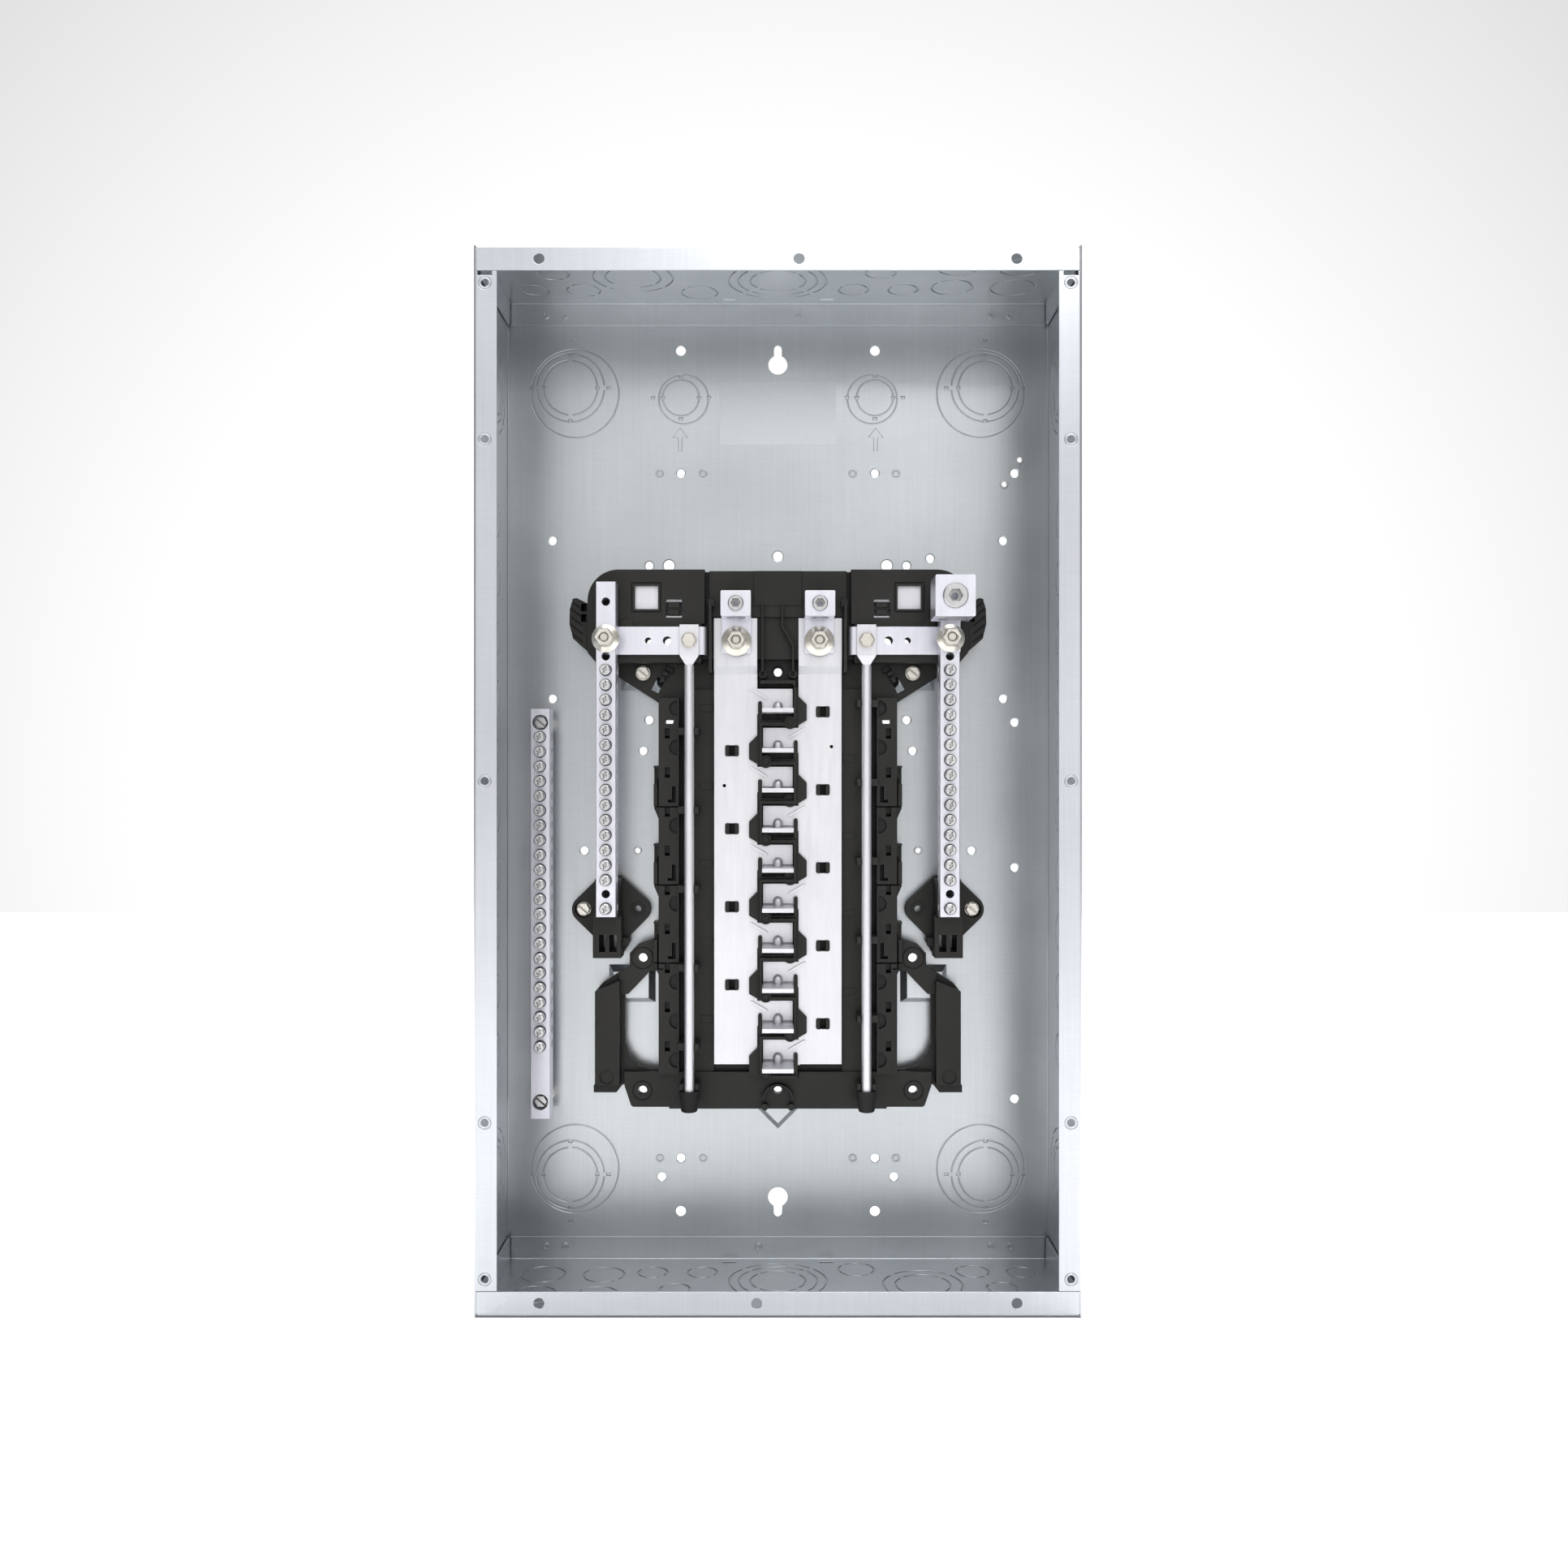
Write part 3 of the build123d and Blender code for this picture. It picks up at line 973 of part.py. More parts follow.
def terminal_holes(x, width, floor, places):
    """Threaded holes from the front and the wire bores that cross them."""
    with BuildSketch(front_view(floor + BAR_WEB)) as outline:
        with Locations(*[(x, z) for z in places]):
            Circle(TERMINAL_SCREW + SCREW_CLEAR)
    extrude(outline.sketch, amount=BAR_DEPTH, mode=Mode.SUBTRACT)
    countersinks([(x, z, TERMINAL_SCREW + SCREW_CLEAR) for z in places], floor + BAR_DEPTH, 0.45)
    with BuildSketch(Plane.YZ.offset(x - width / 2 - 1)) as outline:
        with Locations(*[(-(SHEET + floor + BORE_RISE), z) for z in places]):
            Circle(TERMINAL_BORE)
    extrude(outline.sketch, amount=width + 2, mode=Mode.SUBTRACT)


def make_neutral_bar(name, side):
    """A neutral bar with its terminal holes, wire bores and plain holes."""
    x = side * BAR_X
    with BuildPart() as bar:
        block((x - BAR_WIDTH / 2, x + BAR_WIDTH / 2), (BAR_LOW_Z, BAR_HIGH_Z), BAR_FLOOR, BAR_TOP)
        chamfer(bar.edges().filter_by(Axis.Z), 0.3)
        terminal_holes(x, BAR_WIDTH, BAR_FLOOR, NEUTRAL_SCREWS_Z)
        for z in PLAIN_HOLES_Z:
            post(x, z, PLAIN_HOLE, BAR_FLOOR - 1, BAR_TOP + 1, Mode.SUBTRACT)
        post(x, STRAP_Z, STUD_RADIUS + SCREW_CLEAR, BAR_FLOOR - 1, BAR_TOP + 1, Mode.SUBTRACT)
    return finished(bar, f"{name}_neutral_bar")


def make_terminal_screws(label, x, floor, places):
    """A bar's terminal screws, headless, with a slot crossed by a square recess."""
    top = floor + SCREW_REST + TERMINAL_LENGTH
    with BuildPart() as screws:
        with BuildSketch(front_view(floor + SCREW_REST)):
            with Locations(*[(x, z) for z in places]):
                Circle(TERMINAL_SCREW)
        extrude(amount=TERMINAL_LENGTH)
        chamfer(screws.faces().group_by(Axis.Y)[0].edges(), 0.45)
        with BuildSketch(front_view(top)):
            for z in places:
                with Locations((x, z)):
                    Rectangle(*SCREW_SLOT, rotation=70)
                    Rectangle(SCREW_RECESS, SCREW_RECESS, rotation=25)
        extrude(amount=-SCREW_RECESS_DEPTH, mode=Mode.SUBTRACT)
    return finished(screws, label)


def make_cross_strap(name, side):
    """The flat strap from a neutral bar to its rail, curved down at the inner end."""
    low, high = WING_TOP, WING_TOP + STRAP
    with BuildPart() as strap:
        x_strap = (side * WING_INNER, side * (BAR_X + BAR_WIDTH / 2))
        block(x_strap, (STRAP_Z - STRAP_WIDTH / 2, STRAP_Z + STRAP_WIDTH / 2), low, high)
        # the end bends down over the wing's inner edge
        inner, outer = STRAP / 2, STRAP * 1.5
        centre_y = -(SHEET + low - inner)
        with BuildSketch(Plane.XY.offset(STRAP_Z - STRAP_WIDTH / 2)):
            with Locations((side * WING_INNER, centre_y)):
                Circle(outer)
                Circle(inner, mode=Mode.SUBTRACT)
            with Locations((side * (WING_INNER + outer), centre_y)):
                Rectangle(2 * outer, 3 * outer, mode=Mode.SUBTRACT)
            with Locations((side * WING_INNER, centre_y + outer)):
                Rectangle(3 * outer, 2 * outer, mode=Mode.SUBTRACT)
            with Locations((side * (WING_INNER - (inner + outer) / 2), centre_y + 1.4)):
                Rectangle(STRAP, 2.9)
        extrude(amount=STRAP_WIDTH)
        stud_hole = STUD_RADIUS + SCREW_CLEAR
        for x, radius in (*STRAP_HOLES, (ROD_X, stud_hole), (BAR_X, stud_hole)):
            post(side * x, STRAP_Z, radius, low - 1, high + 1, Mode.SUBTRACT)
    return finished(strap, f"{name}_cross_strap")


ROD_LOW_Z = -206.5
ROD_TAPER_Z = 74.5
ROD_FLAT_Z = (80.5, 100.5)
ROD_FLAT_WIDTH = 12.2


def make_plug_on_rail(name, side):
    """A round neutral rail with its flattened end on the cross strap."""
    x = side * ROD_X
    flat_low = BAR_FLOOR
    with BuildPart() as rail:
        with BuildSketch(Plane.XY.offset(ROD_LOW_Z)):
            with Locations((x, -(SHEET + ROD_HEIGHT))):
                Circle(ROD_RADIUS)
        extrude(amount=ROD_TAPER_Z - ROD_LOW_Z)
        with BuildSketch(Plane.XY.offset(ROD_TAPER_Z - 0.1)):
            with Locations((x, -(SHEET + ROD_HEIGHT))):
                Rectangle(4.4, 4.4)
        with BuildSketch(Plane.XY.offset(ROD_FLAT_Z[0])):
            with Locations((x, -(SHEET + ROD_HEIGHT))):
                Rectangle(ROD_FLAT_WIDTH, STRAP)
        loft()
        block((x - ROD_FLAT_WIDTH / 2, x + ROD_FLAT_WIDTH / 2), ROD_FLAT_Z, flat_low, flat_low + STRAP)
        post(x, STRAP_Z, STUD_RADIUS + SCREW_CLEAR, flat_low - 1, flat_low + STRAP + 1, Mode.SUBTRACT)
    return finished(rail, f"{name}_plug_on_rail")


SCREW_FLANGE = 0.6  # flange radius over the width across flats


def make_hex_screw(label, x, z, radius, seat, head, tip, across_flats, slot=False):
    """A hexagon-headed screw with a round flange, slotted if asked."""
    with BuildPart() as screw:
        post(x, z, radius, tip, seat + 0.1)
        post(x, z, across_flats * SCREW_FLANGE, seat, seat + 1.0)
        with BuildSketch(front_view(seat + 0.9)):
            with Locations((x, z)):
                RegularPolygon(across_flats / 2, 6, major_radius=False)
        extrude(amount=head - 0.9)
        chamfer(screw.faces().sort_by(Axis.Y)[0].edges(), 0.5)
        if slot:
            with BuildSketch(front_view(seat + head)):
                with Locations((x, z)):
                    Rectangle(across_flats * 1.3, 1.3, rotation=-40)
            extrude(amount=-2.0, mode=Mode.SUBTRACT)
    return finished(screw, label)


BOOT_Z = (-212.6, -199.4)
BOOT_RADIUS, BOOT_FLARE = 5.2, 5.2  # at the closed end, and the flare towards the open end in degrees


def make_rail_boot(name, side):
    """The insulating cup on a rail's lower end."""
    x = side * ROD_X
    y = -(SHEET + ROD_HEIGHT)
    with BuildPart() as boot:
        with BuildSketch(Plane.XY.offset(BOOT_Z[0])):
            with Locations((x, y)):
                Circle(BOOT_RADIUS)
        extrude(amount=BOOT_Z[1] - BOOT_Z[0], taper=-BOOT_FLARE)
        fillet(boot.faces().sort_by(Axis.Z)[0].edges(), 1.4)
        with BuildSketch(Plane.XY.offset(ROD_LOW_Z)):
            with Locations((x, y)):
                Circle(ROD_RADIUS + SCREW_CLEAR)
        extrude(amount=20, mode=Mode.SUBTRACT)
        block((x - 4.2, x + 4.2), (BOOT_Z[0] + 3, BOOT_Z[0] + 12), END_DECK, ROD_HEIGHT - 4)
    return finished(boot, f"{name}_rail_boot")


GRIP_OUTLINE = [
    (-123.3, 84.0),
    (-127.5, 87.5),
    (-133.0, 92.5),
    (-135.3, 102.0),
    (-135.0, 111.5),
    (-133.2, 118.2),
    (-130.5, 118.8),
    (-125.0, 116.0),
    (-123.3, 115.2),
]
GRIP_HEIGHTS = (8.0, 22.0)


def make_grip(name, side):
    """A ribbed finger tab beside the wing."""
    with BuildPart() as grip:
        prism(sided(side, GRIP_OUTLINE), *GRIP_HEIGHTS)
        with BuildSketch(front_view(GRIP_HEIGHTS[1])):
            for k in range(7):
                with Locations((side * 130.5, 88.0 + 5.2 * k)):
                    Rectangle(9.5, 0.9, rotation=side * 38)
        extrude(amount=-1.2, mode=Mode.SUBTRACT)
        for z in (105.8, 112.6):
            slot_x = (side * 124.2, side * 127.6)
            block(slot_x, (z - 2.5, z + 2.5), GRIP_HEIGHTS[0] + 3, GRIP_HEIGHTS[1] + 1, Mode.SUBTRACT)
    return finished(grip, f"{name}_grip")


FOOT_TOP = 9.0
FOOT_ROUNDING = 9.0
FOOT_OUTLINE = [
    (-139.5, -84.4),
    (-117.0, -62.5),
    (-103.0, -62.5),
    (-80.2, -84.4),
    (-97.5, -102.0),
    (-97.5, -106.0),
    (-103.0, -115.0),
    (-119.5, -115.0),
    (-121.5, -112.0),
    (-121.5, -102.0),
]


def make_bar_foot(name, side):
    """The insulating bracket that stands the neutral bar's lower end off the back."""
    with BuildPart() as foot:
        with BuildSketch(front_view(0)) as outline:
            Polygon(*sided(side, FOOT_OUTLINE), align=None)
            by_x = outline.vertices().sort_by(Axis.X)
            fillet([by_x[0], by_x[-1]], FOOT_ROUNDING)
        extrude(outline.sketch, amount=FOOT_TOP)
        ring(side * 92.3, FOOT_Z, 4.0, 1.2, FOOT_TOP - 0.5, FOOT_TOP + 0.8)
        block((side * 102.4, side * 118.0), (-86.9, -63.5), FOOT_TOP - 1, BAR_FLOOR)
        block((side * 101.4, side * 119.6), (-114.5, -86.8), FOOT_TOP - 1, BAR_FLOOR - 3)
        block((side * 102.6, side * 117.6), (-88.4, -85.2), BAR_FLOOR - 4, BAR_FLOOR + 4)
        block((side * 105.6, side * 115.6), (-84.6, -66.5), -1, BAR_FLOOR - 3, Mode.SUBTRACT)
        for x_window in ((111.6, 115.6), (104.2, 108.9)):
            block((side * x_window[0], side * x_window[1]), (-110.5, -99.5), -1, BAR_FLOOR, Mode.SUBTRACT)
        block((side * 98.0, side * 101.6), (-108.0, -102.6), FOOT_TOP - 1, FOOT_TOP + 7)
        block((side * BAR_X - BAR_WIDTH / 2, side * BAR_X + BAR_WIDTH / 2), (BAR_LOW_Z, BAR_LOW_Z + 6),
              BAR_FLOOR, BAR_FLOOR + 6, Mode.SUBTRACT)
        post(side * FOOT_SCREW_X, FOOT_Z, MOUNT_SHANK + SCREW_CLEAR, -1, FOOT_TOP + 1, Mode.SUBTRACT)
        post(side * FOOT_SCREW_X, FOOT_Z, 5.6, FOOT_TOP - 4.0, FOOT_TOP + 1, Mode.SUBTRACT)
        post(side * 92.3, FOOT_Z, 2.4, -1, FOOT_TOP + 1, Mode.SUBTRACT)
    return finished(foot, f"{name}_bar_foot")


GROUND_TOP = GROUND_FLOOR + BAR_DEPTH
GROUND_COUNTERBORE = 5.1
GROUND_SEAT = GROUND_TOP - 6.0


def make_ground_bar():
    """The bonding bar at the left of the box."""
    with BuildPart() as bar:
        x_bar = (GROUND_X - BAR_WIDTH / 2, GROUND_X + BAR_WIDTH / 2)
        block(x_bar, (GROUND_LOW_Z, GROUND_HIGH_Z), GROUND_FLOOR, GROUND_TOP)
        chamfer(bar.edges().filter_by(Axis.Z), 0.3)
        terminal_holes(GROUND_X, BAR_WIDTH, GROUND_FLOOR, GROUND_SCREWS_Z)
        for z in GROUND_MOUNT_Z:
            post(GROUND_X, z, MOUNT_SHANK + SCREW_CLEAR, GROUND_FLOOR - 1, GROUND_TOP + 1, Mode.SUBTRACT)
            post(GROUND_X, z, GROUND_COUNTERBORE, GROUND_SEAT, GROUND_TOP + 1, Mode.SUBTRACT)
    return finished(bar, "ground_bar")


def make_ground_standoffs():
    """Two sleeves between the back and the ground bar."""
    with BuildPart() as sleeves:
        for z in GROUND_MOUNT_Z:
            post(GROUND_X, z, 5.6, 0, GROUND_FLOOR)
            post(GROUND_X, z, MOUNT_SHANK + SCREW_CLEAR, -1, GROUND_FLOOR + 1, Mode.SUBTRACT)
    return finished(sleeves, "ground_bar_standoffs")


def make_screw_group(label, places, seat, head, tip, across_flats, slot):
    """Identical mounting screws at several places."""
    each = [make_hex_screw(label, x, z, MOUNT_SHANK, seat, head, tip, across_flats, slot) for x, z in places]
    with BuildPart() as screws:
        add(each)
    return finished(screws, label)


PLATE, PLATE_MARGIN = 1.5, 1.6


def make_window_plate(name, side):
    """The plated metal plate under a wing, from its window to the latch whose hooks pass through it."""
    with BuildPart() as plate:
        outer = WINDOW / 2 + PLATE_MARGIN
        x_plate = (side * (LATCH_X - 7.2), side * (WINDOW_X + outer))
        under = WING_TOP - BASE_SKIN
        block(x_plate, (LATCH_Z - 8.0, WINDOW_Z + outer), under - PLATE, under)
        x_hooks = (side * (LATCH_X - 6.3), side * (LATCH_X + 6.3))
        block(x_hooks, (LATCH_Z - 4.5, LATCH_Z + 4.5), under - PLATE - 1, under + 1, Mode.SUBTRACT)
    return finished(plate, f"{name}_window_plate")


def make_all():
    """Every piece of the assembly."""
    pieces = [
        make_enclosure_wrap(),
        make_end_wall("top_end_wall", 0),
        make_end_wall("bottom_end_wall", 180),
        make_blank_label(),
        make_interior_base(),
        make_stab_barrier(),
        make_bus_clips(),
        make_ground_bar(),
        make_ground_standoffs(),
        make_terminal_screws("ground_bar_screws", GROUND_X, GROUND_FLOOR, GROUND_SCREWS_Z),
    ]
    for name, side in SIDES:
        x_bar, x_lug, x_rod = side * BAR_X, side * LUG_X, side * ROD_X
        tang_top = LUG_FLOOR + TANG
        seat = BAR_TOP + (TANG if side == RIGHT else 0)
        pieces += [
            make_bus_bar(name, side),
            make_lug(f"{name}_main_lug", x_lug, LUG_WIDTH, (LUG_LOW_Z, LUG_HIGH_Z), LUG_FLOOR, LUG_TOP,
                     LUG_BORE, LUG_SCREW, 82.6),
            make_socket_screw(f"{name}_main_lug_screw", x_lug, (LUG_LOW_Z + LUG_HIGH_Z) / 2, LUG_SCREW,
                              LUG_TOP + 2.2, LUG_SCREW_LENGTH, LUG_SCREW_SOCKET),
            make_stud(f"{name}_main_stud", x_lug, 14.0, tang_top + NUT_TOP - STUD_SUNK),
            make_cone_nut(f"{name}_main_nut", x_lug, tang_top, 9.6),
            make_neutral_bar(name, side),
            make_terminal_screws(f"{name}_neutral_screws", x_bar, BAR_FLOOR, NEUTRAL_SCREWS_Z),
            make_stud(f"{name}_neutral_stud", x_bar, 14.0, seat + NUT_TOP - STUD_SUNK),
            make_cone_nut(f"{name}_neutral_nut", x_bar, seat, 8.9),
            make_cross_strap(name, side),
            make_plug_on_rail(name, side),
            make_hex_screw(f"{name}_rail_screw", x_rod, STRAP_Z, STUD_RADIUS, BAR_FLOOR + STRAP,
                           4.4, 14.0, 8.4),
            make_rail_boot(name, side),
            make_grip(name, side),
            make_bar_foot(name, side),
            make_window_plate(name, side),
        ]
    lug_z = (NEUTRAL_LUG_Z[0] + NEUTRAL_LUG_Z[1]) / 2
    pieces += [
        make_lug("neutral_lug", BAR_X, NEUTRAL_LUG_WIDTH, NEUTRAL_LUG_Z, BAR_TOP, NEUTRAL_LUG_TOP,
                 NEUTRAL_BORE, NEUTRAL_SCREW, 81.8),
        make_socket_screw("neutral_lug_screw", BAR_X, lug_z, NEUTRAL_SCREW, NEUTRAL_LUG_TOP + 1.8,
                          NEUTRAL_SCREW_LENGTH, NEUTRAL_SCREW_SOCKET),
        make_screw_group("interior_mounting_screws", [(sx * MOUNT_SCREW_X, MOUNT_SCREW_Z) for sx in (1, -1)],
                         DECK, 4.5, 2.0, 8.0, True),
        make_screw_group("bar_foot_screws", [(sx * FOOT_SCREW_X, FOOT_Z) for sx in (1, -1)],
                         FOOT_TOP - 4.0, 4.5, -1.0, 8.0, True),
        make_screw_group("ground_bar_mounting_screws", [(GROUND_X, z) for z in GROUND_MOUNT_Z],
                         GROUND_SEAT, 4.5, -1.0, 7.6, True),
    ]
    return pieces


os.makedirs("parts", exist_ok=True)
for piece in make_all():
    export_step(piece, f"parts/{piece.label}.step")
    print(piece.label, len(piece.solids()))
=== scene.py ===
"""Looks of the subpanel enclosure: materials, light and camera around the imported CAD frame.

The frame has its origin at the centre of the back's outer face, the open front faces -Y and
+Z is up. Everything here is in metres.
"""

import json

import bpy
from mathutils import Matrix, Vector


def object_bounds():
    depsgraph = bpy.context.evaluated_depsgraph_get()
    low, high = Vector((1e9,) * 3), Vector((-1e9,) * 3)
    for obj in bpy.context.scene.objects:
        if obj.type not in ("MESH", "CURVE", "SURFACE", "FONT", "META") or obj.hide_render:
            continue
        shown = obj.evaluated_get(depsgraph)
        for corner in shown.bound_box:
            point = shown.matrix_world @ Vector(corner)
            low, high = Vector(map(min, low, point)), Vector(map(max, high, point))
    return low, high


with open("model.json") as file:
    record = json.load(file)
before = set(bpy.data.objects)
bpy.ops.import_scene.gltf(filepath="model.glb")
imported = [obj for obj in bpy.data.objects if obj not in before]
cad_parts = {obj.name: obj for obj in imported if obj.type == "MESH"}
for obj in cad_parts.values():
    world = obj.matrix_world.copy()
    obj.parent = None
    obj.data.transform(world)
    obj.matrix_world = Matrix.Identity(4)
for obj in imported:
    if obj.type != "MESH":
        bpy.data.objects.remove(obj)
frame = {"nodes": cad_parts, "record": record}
CAD_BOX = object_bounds()
(LOW_X, LOW_Y, LOW_Z), (HIGH_X, HIGH_Y, HIGH_Z) = CAD_BOX

# ---------------------------------------------------------------- camera
CAMERA_DISTANCE = 0.8113  # from the front face
SENSOR = 36.0
LENS = 31.36025
SHIFT_X, SHIFT_Y = 0.0039, -0.0019  # the object sits a little left of and above the middle
QUARTER_TURN = 1.5707963  # from looking down to looking along +Y

# ---------------------------------------------------------------- world, floor and lights
WORLD_STRENGTH = 1.03
SIDE_GREY = 0.32  # the studio is darker towards the sides
SIDE_END, WHITE_START = 0.55, 0.92  # share of a direction that points forward or back
FLOOR_GAP = 0.0005
FLOOR_REACH = 2.4  # from the middle to each edge
KEY_SIZE, KEY_POWER = 0.9, 10.0
FLOOR_LIGHT_SIZE, FLOOR_LIGHT_POWER = 4.0, 260.0

# ---------------------------------------------------------------- material values
FINE = 0.00008  # relief of grain and pores
FLOW = 0.0004  # relief of flow marks
CREVICE = 0.005  # reach of the painted shade that darkens narrow gaps
CREVICE_SHADE_SAMPLES, BEVEL_SAMPLES = 6, 4
SHEET_EDGE, METAL_EDGE, MOULDED_EDGE, LABEL_EDGE = 0.0006, 0.0003, 0.0004, 0.0001  # soft edges
DRAWN = (5.0, 1.0, 0.5)  # grain drawn out along a bar
EXTRUDED = (4.0, 1.0, 0.5)
EVEN = (1.0, 1.0, 1.0)
FLANGE_FACE = LOW_Y + 0.0012  # just behind the front of the flanges, where their painted light ends
FLANGE_FADE = 0.0004


# ---------------------------------------------------------------- node helpers
class Shader:
    """A material under construction, with short calls for the nodes used here."""

    def __init__(self, name):
        self.material = bpy.data.materials.new(name)
        self.material.use_nodes = True
        self.tree = self.material.node_tree
        self.surface = self.tree.nodes["Principled BSDF"]
        self.coordinates = self.tree.nodes.new("ShaderNodeTexCoord").outputs["Object"]

    def link(self, source, target):
        self.tree.links.new(source, target)

    def scaled(self, scale):
        """Object coordinates stretched by a factor on each axis."""
        mapping = self.tree.nodes.new("ShaderNodeMapping")
        mapping.inputs["Scale"].default_value = scale
        self.link(self.coordinates, mapping.inputs["Vector"])
        return mapping.outputs["Vector"]

    def noise(self, scale, detail=4.0, stretch=(1.0, 1.0, 1.0)):
        texture = self.tree.nodes.new("ShaderNodeTexNoise")
        texture.inputs["Scale"].default_value = scale
        texture.inputs["Detail"].default_value = detail
        self.link(self.scaled(stretch), texture.inputs["Vector"])
        return texture.outputs["Fac"]

    def ramp(self, source, stops):
        """A value turned into a colour or grey by stops of (position, colour)."""
        node = self.tree.nodes.new("ShaderNodeValToRGB")
        elements = node.color_ramp.elements
        while len(elements) < len(stops):
            elements.new(0.5)
        for element, (position, colour) in zip(elements, stops):
            element.position = position
            element.color = (*colour, 1.0)
        self.link(source, node.inputs["Fac"])
        return node.outputs["Color"]

    def blended(self, kind, first, second, factor=1.0):
        """Two colours mixed with a blend mode, by a number or by another output."""
        node = self.tree.nodes.new("ShaderNodeMix")
        node.data_type = "RGBA"
        node.blend_type = kind
        if isinstance(factor, float):
            node.inputs["Factor"].default_value = factor
        else:
            self.link(factor, node.inputs["Factor"])
        colours = [socket for socket in node.inputs if socket.type == "RGBA"]
        self.link(first, colours[0])
        self.link(second, colours[1])
        return next(socket for socket in node.outputs if socket.type == "RGBA")

    def painted_crevice_shade(self, colour, darkest_painted_shade):
        """The colour with painted shade: darkened in crevices where ambient occlusion finds
        close geometry.
        """
        # painted shade: ambient occlusion darkens the base colour in crevices and gaps
        occlusion = self.tree.nodes.new("ShaderNodeAmbientOcclusion")
        occlusion.samples = CREVICE_SHADE_SAMPLES
        occlusion.inputs["Distance"].default_value = CREVICE
        shade = self.ramp(occlusion.outputs["AO"], [(0.15, grey(darkest_painted_shade)), (0.75, grey(1.0))])
        return self.blended("MULTIPLY", colour, shade)

    def depth(self, near, far):
        """0 at one Y and 1 at another, measured on the object."""
        parts = self.tree.nodes.new("ShaderNodeSeparateXYZ")
        self.link(self.coordinates, parts.inputs["Vector"])
        span = self.tree.nodes.new("ShaderNodeMapRange")
        span.inputs["From Min"].default_value = near
        span.inputs["From Max"].default_value = far
        self.link(parts.outputs["Y"], span.inputs["Value"])
        return span.outputs["Result"]

    def relief(self, layers, edge_radius):
        """Bumps of (height source, strength, distance) over softened edges."""
        bevel = self.tree.nodes.new("ShaderNodeBevel")
        bevel.samples = BEVEL_SAMPLES
        bevel.inputs["Radius"].default_value = edge_radius
        normal = bevel.outputs["Normal"]
        for source, strength, distance in layers:
            bump = self.tree.nodes.new("ShaderNodeBump")
            bump.inputs["Strength"].default_value = strength
            bump.inputs["Distance"].default_value = distance
            self.link(source, bump.inputs["Height"])
            self.link(normal, bump.inputs["Normal"])
            normal = bump.outputs["Normal"]
        self.link(normal, self.surface.inputs["Normal"])


def grey(value):
    return (value, value, value)


# ---------------------------------------------------------------- materials
def galvanised_steel():
    """Coated sheet: vertical grain, cross scratches, cloudy dulling, painted light on the
    flanges and painted shade in crevices.
    """
    shader = Shader("galvanised_steel")
    cloud = shader.noise(7.0, 5.0)
    grain = shader.noise(60.0, 6.0, (12.0, 6.0, 0.25))
    scratches = shader.noise(90.0, 8.0, (0.6, 1.0, 14.0))
    inside = shader.ramp(cloud, [(0.3, (0.455, 0.48, 0.50)), (0.7, (0.54, 0.565, 0.585))])
    # painted light: the flanges get a lighter copy of the sheet colour, for the extra light
    # they catch in front of the recessed back
    flange_painted_light = shader.ramp(cloud, [(0.3, (0.54, 0.56, 0.595)), (0.7, (0.61, 0.63, 0.67))])
    behind_flanges = shader.depth(FLANGE_FACE, FLANGE_FACE + FLANGE_FADE)
    base = shader.blended("MIX", flange_painted_light, inside, behind_flanges)
    streaks = shader.ramp(grain, [(0.3, grey(0.95)), (0.7, grey(1.0))])
    crossing = shader.ramp(scratches, [(0.3, grey(0.96)), (0.6, grey(1.0))])
    base = shader.blended("MULTIPLY", base, streaks)
    base = shader.blended("MULTIPLY", base, crossing)
    # painted shade: the base colour darkens in crevices
    shader.link(shader.painted_crevice_shade(base, 0.75), shader.surface.inputs["Base Color"])
    shader.surface.inputs["Metallic"].default_value = 0.88
    rough_map = shader.ramp(cloud, [(0.3, grey(0.27)), (0.75, grey(0.36))])
    shader.link(rough_map, shader.surface.inputs["Roughness"])
    shader.relief([(grain, 0.07, FINE), (scratches, 0.06, FINE)], SHEET_EDGE)
    return shader.material


def plated_metal(name, dull, bright, metallic, rough, grain, stretch, darkest_painted_shade=0.6):
    """A plated bar or fastener: drawn grain, a sandy bloom and painted shade in crevices."""
    shader = Shader(name)
    cloud = shader.noise(14.0, 4.0)
    lines = shader.noise(grain, 5.0, stretch)
    sand = shader.noise(1400.0, 2.0)
    base = shader.ramp(cloud, [(0.3, dull), (0.7, bright)])
    streaks = shader.ramp(lines, [(0.3, grey(0.93)), (0.7, grey(1.0))])
    speckle = shader.ramp(sand, [(0.3, grey(0.95)), (0.7, grey(1.0))])
    base = shader.blended("MULTIPLY", base, streaks)
    base = shader.blended("MULTIPLY", base, speckle)
    # painted shade: the base colour darkens in crevices
    shader.link(shader.painted_crevice_shade(base, darkest_painted_shade), shader.surface.inputs["Base Color"])
    shader.surface.inputs["Metallic"].default_value = metallic
    rough_map = shader.ramp(lines, [(0.3, grey(rough - 0.05)), (0.75, grey(rough + 0.07))])
    shader.link(rough_map, shader.surface.inputs["Roughness"])
    shader.relief([(lines, 0.10, FINE), (sand, 0.06, FINE)], METAL_EDGE)
    return shader.material


def tin_plate():
    return plated_metal(
        "tin_plate", (0.69, 0.69, 0.73), (0.76, 0.76, 0.79), 0.75, 0.36, 55.0, DRAWN
    )


def aluminium():
    return plated_metal(
        "aluminium", (0.71, 0.71, 0.78), (0.81, 0.81, 0.88), 0.85, 0.34, 70.0, EXTRUDED
    )


def plated_steel():
    return plated_metal(
        "plated_steel", (0.64, 0.61, 0.55), (0.80, 0.77, 0.71), 0.85, 0.27, 90.0, EVEN
    )


def zinc_plate():
    return plated_metal(
        "zinc_plate", (0.56, 0.56, 0.56), (0.72, 0.72, 0.72), 1.0, 0.24, 90.0, EVEN, 0.35
    )


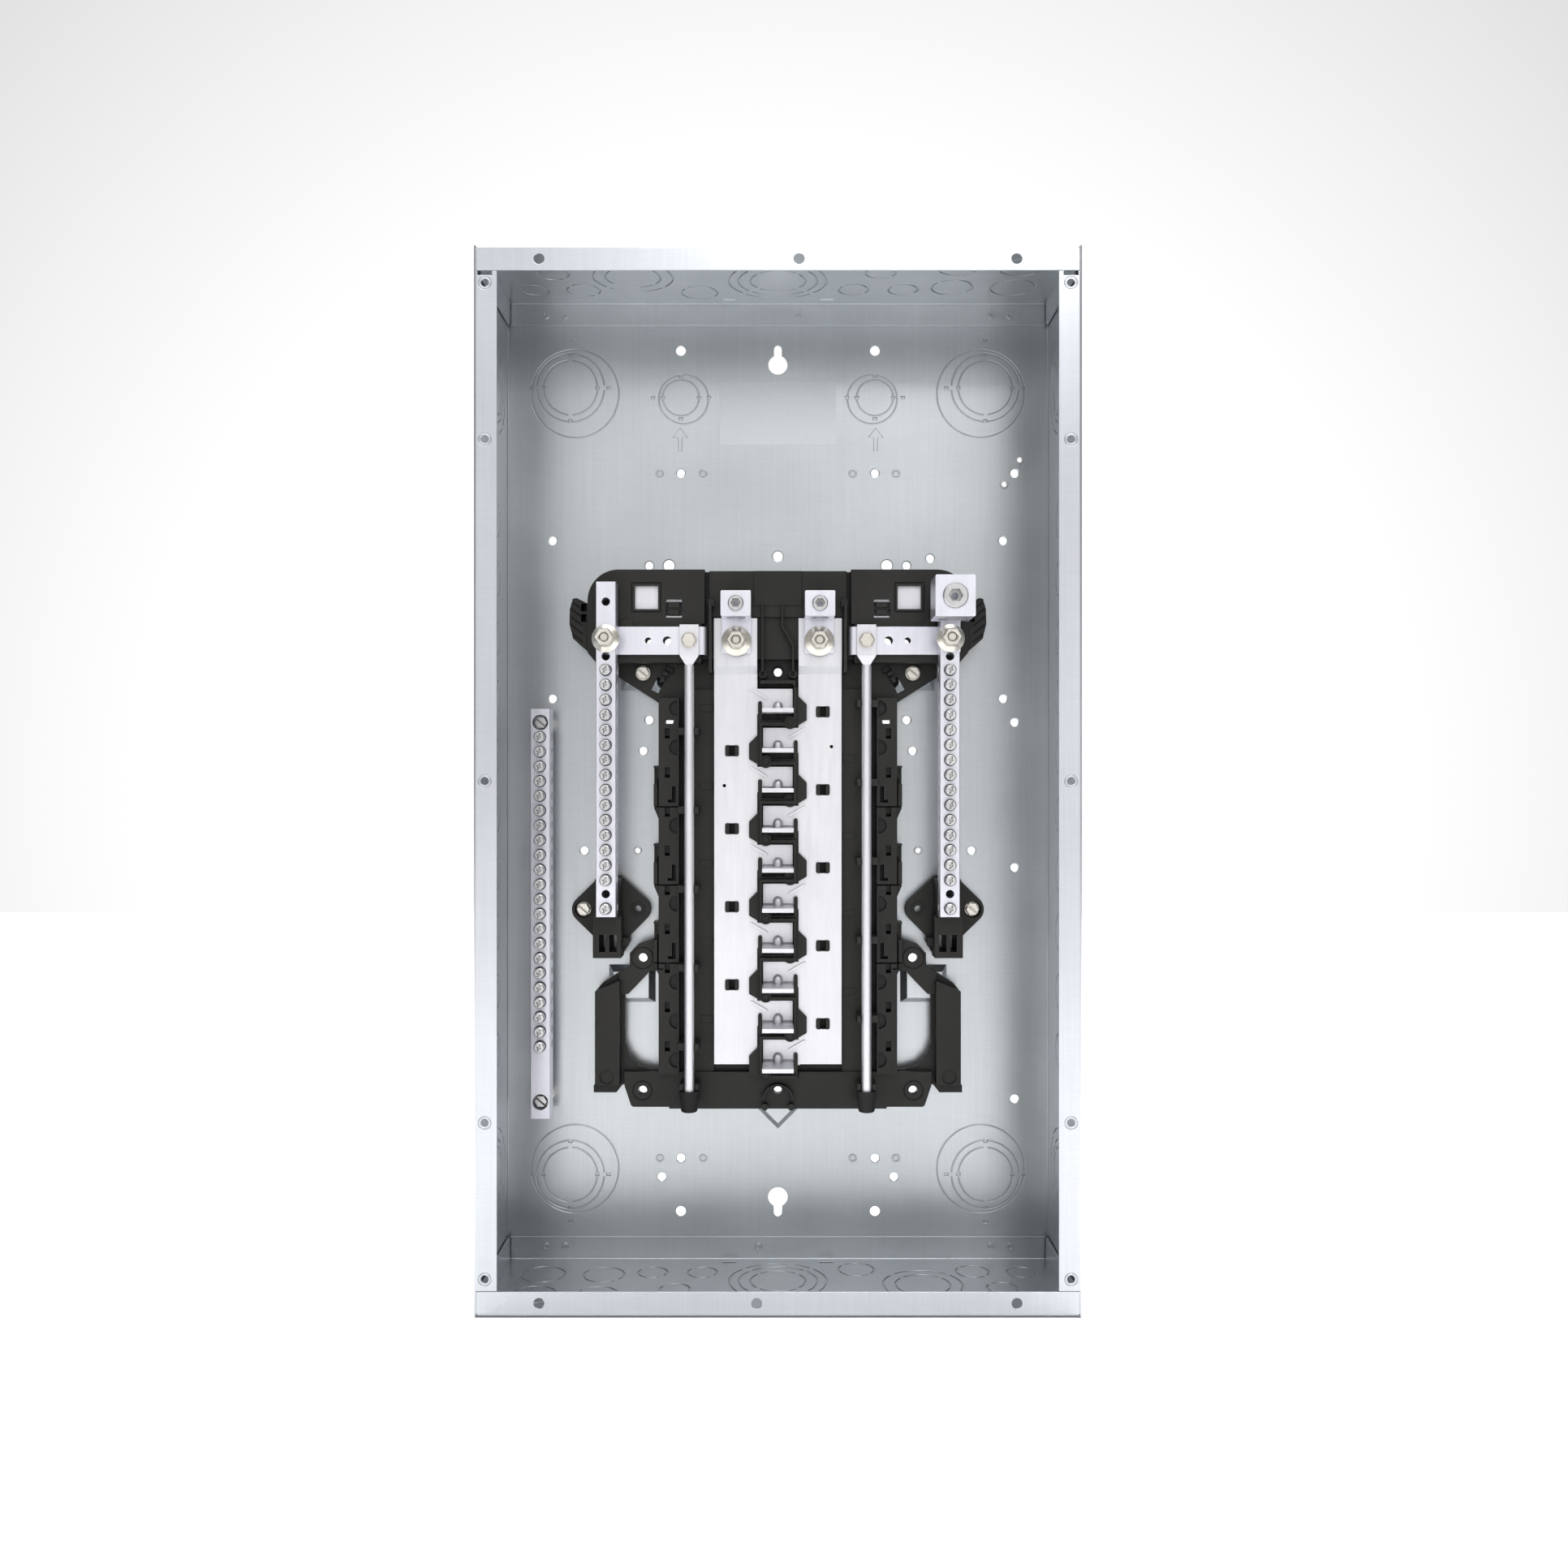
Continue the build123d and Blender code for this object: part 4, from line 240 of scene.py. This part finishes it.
def moulded(name, dark, light, rough):
    """Moulded plastic with a fine spark-eroded texture, flow marks and rubbed patches."""
    shader = Shader(name)
    flow = shader.noise(24.0, 3.0, (1.0, 1.0, 0.4))
    pits = shader.noise(2200.0, 2.0)
    base = shader.ramp(flow, [(0.3, dark), (0.75, light)])
    # painted shade: the base colour darkens almost to black in crevices and gaps
    shader.link(shader.painted_crevice_shade(base, 0.05), shader.surface.inputs["Base Color"])
    rough_map = shader.ramp(pits, [(0.2, grey(rough - 0.08)), (0.8, grey(rough + 0.08))])
    shader.link(rough_map, shader.surface.inputs["Roughness"])
    shader.surface.inputs["Specular IOR Level"].default_value = 0.26
    shader.relief([(pits, 0.10, FINE), (flow, 0.05, FLOW)], MOULDED_EDGE)
    return shader.material


def black_plastic():
    return moulded("black_plastic", (0.0125, 0.0118, 0.0108), (0.0190, 0.0178, 0.0162), 0.46)


def rubber():
    return moulded("rubber", (0.012, 0.012, 0.013), (0.020, 0.020, 0.021), 0.68)


def label():
    """Clear matte film laid on the back, close to the sheet's own colour."""
    shader = Shader("label")
    fibres = shader.noise(500.0, 3.0)
    base = shader.ramp(fibres, [(0.3, (0.505, 0.53, 0.545)), (0.7, (0.535, 0.56, 0.575))])
    shader.link(base, shader.surface.inputs["Base Color"])
    rough_map = shader.ramp(fibres, [(0.2, grey(0.42)), (0.8, grey(0.52))])
    shader.link(rough_map, shader.surface.inputs["Roughness"])
    shader.surface.inputs["Metallic"].default_value = 0.8
    shader.relief([(fibres, 0.08, FINE)], LABEL_EDGE)
    return shader.material


MAKERS = {
    "galvanised_steel": galvanised_steel,
    "tin_plate": tin_plate,
    "aluminium": aluminium,
    "plated_steel": plated_steel,
    "zinc_plate": zinc_plate,
    "black_plastic": black_plastic,
    "rubber": rubber,
    "label": label,
}


def dress_nodes():
    """Every CAD node takes the material of its slot in the record."""
    slots = {entry["node"]: entry["material_slot"] for entry in frame["record"]["subparts"]}
    made = {slot: maker() for slot, maker in MAKERS.items()}
    for name, obj in frame["nodes"].items():
        obj.data.materials.clear()
        obj.data.materials.append(made[slots[name]])


# ---------------------------------------------------------------- stage
def make_floor():
    mesh = bpy.data.meshes.new("floor")
    z = LOW_Z - FLOOR_GAP
    size = FLOOR_REACH
    corners = [(-size, -size, z), (size, -size, z), (size, size, z), (-size, size, z)]
    mesh.from_pydata(corners, [], [(0, 1, 2, 3)])
    floor = bpy.data.objects.new("floor", mesh)
    bpy.context.scene.collection.objects.link(floor)
    shader = Shader("floor")
    shade = shader.noise(3.0, 2.0)
    base = shader.ramp(shade, [(0.3, grey(0.93)), (0.7, grey(0.95))])
    shader.link(base, shader.surface.inputs["Base Color"])
    shader.surface.inputs["Roughness"].default_value = 0.9
    mesh.materials.append(shader.material)


def area_light(name, location, target, size, power):
    """A square softbox that faces a target."""
    data = bpy.data.lights.new(name, "AREA")
    data.shape = "SQUARE"
    data.size = size
    data.energy = power
    light = bpy.data.objects.new(name, data)
    light.location = location
    direction = target - light.location
    light.rotation_euler = direction.to_track_quat("-Z", "Y").to_euler()
    bpy.context.scene.collection.objects.link(light)


def make_world():
    """A white room in front and behind, greyer towards its sides."""
    world = bpy.data.worlds.new("studio")
    world.use_nodes = True
    tree = world.node_tree
    background = tree.nodes["Background"]
    background.inputs["Strength"].default_value = WORLD_STRENGTH
    direction = tree.nodes.new("ShaderNodeTexCoord").outputs["Generated"]
    parts = tree.nodes.new("ShaderNodeSeparateXYZ")
    tree.links.new(direction, parts.inputs["Vector"])
    sideways = tree.nodes.new("ShaderNodeMath")
    sideways.operation = "ABSOLUTE"
    tree.links.new(parts.outputs["Y"], sideways.inputs[0])
    room = tree.nodes.new("ShaderNodeValToRGB")
    room.color_ramp.elements[0].position = SIDE_END
    room.color_ramp.elements[0].color = (*grey(SIDE_GREY), 1.0)
    room.color_ramp.elements[1].position = WHITE_START
    room.color_ramp.elements[1].color = (1.0, 1.0, 1.0, 1.0)
    tree.links.new(sideways.outputs[0], room.inputs["Fac"])
    tree.links.new(room.outputs["Color"], background.inputs["Color"])
    bpy.context.scene.world = world


def make_light():
    make_world()
    area_light("key", Vector((0.3, -1.7, 1.4)), Vector((0.0, 0.0, 0.0)), KEY_SIZE, KEY_POWER)
    above_floor, on_floor = Vector((0.0, 0.9, 2.6)), Vector((0.0, 1.0, 0.0))
    area_light("floor_light", above_floor, on_floor, FLOOR_LIGHT_SIZE, FLOOR_LIGHT_POWER)


def make_camera():
    data = bpy.data.cameras.new("camera")
    data.sensor_width = SENSOR
    data.lens = LENS
    data.shift_x = SHIFT_X
    data.shift_y = SHIFT_Y
    camera = bpy.data.objects.new("camera", data)
    camera.location = (0.0, LOW_Y - CAMERA_DISTANCE, 0.0)
    camera.rotation_euler = (QUARTER_TURN, 0.0, 0.0)
    bpy.context.scene.collection.objects.link(camera)
    bpy.context.scene.camera = camera


dress_nodes()
make_floor()
make_light()
make_camera()
bpy.context.scene.view_settings.view_transform = "Standard"
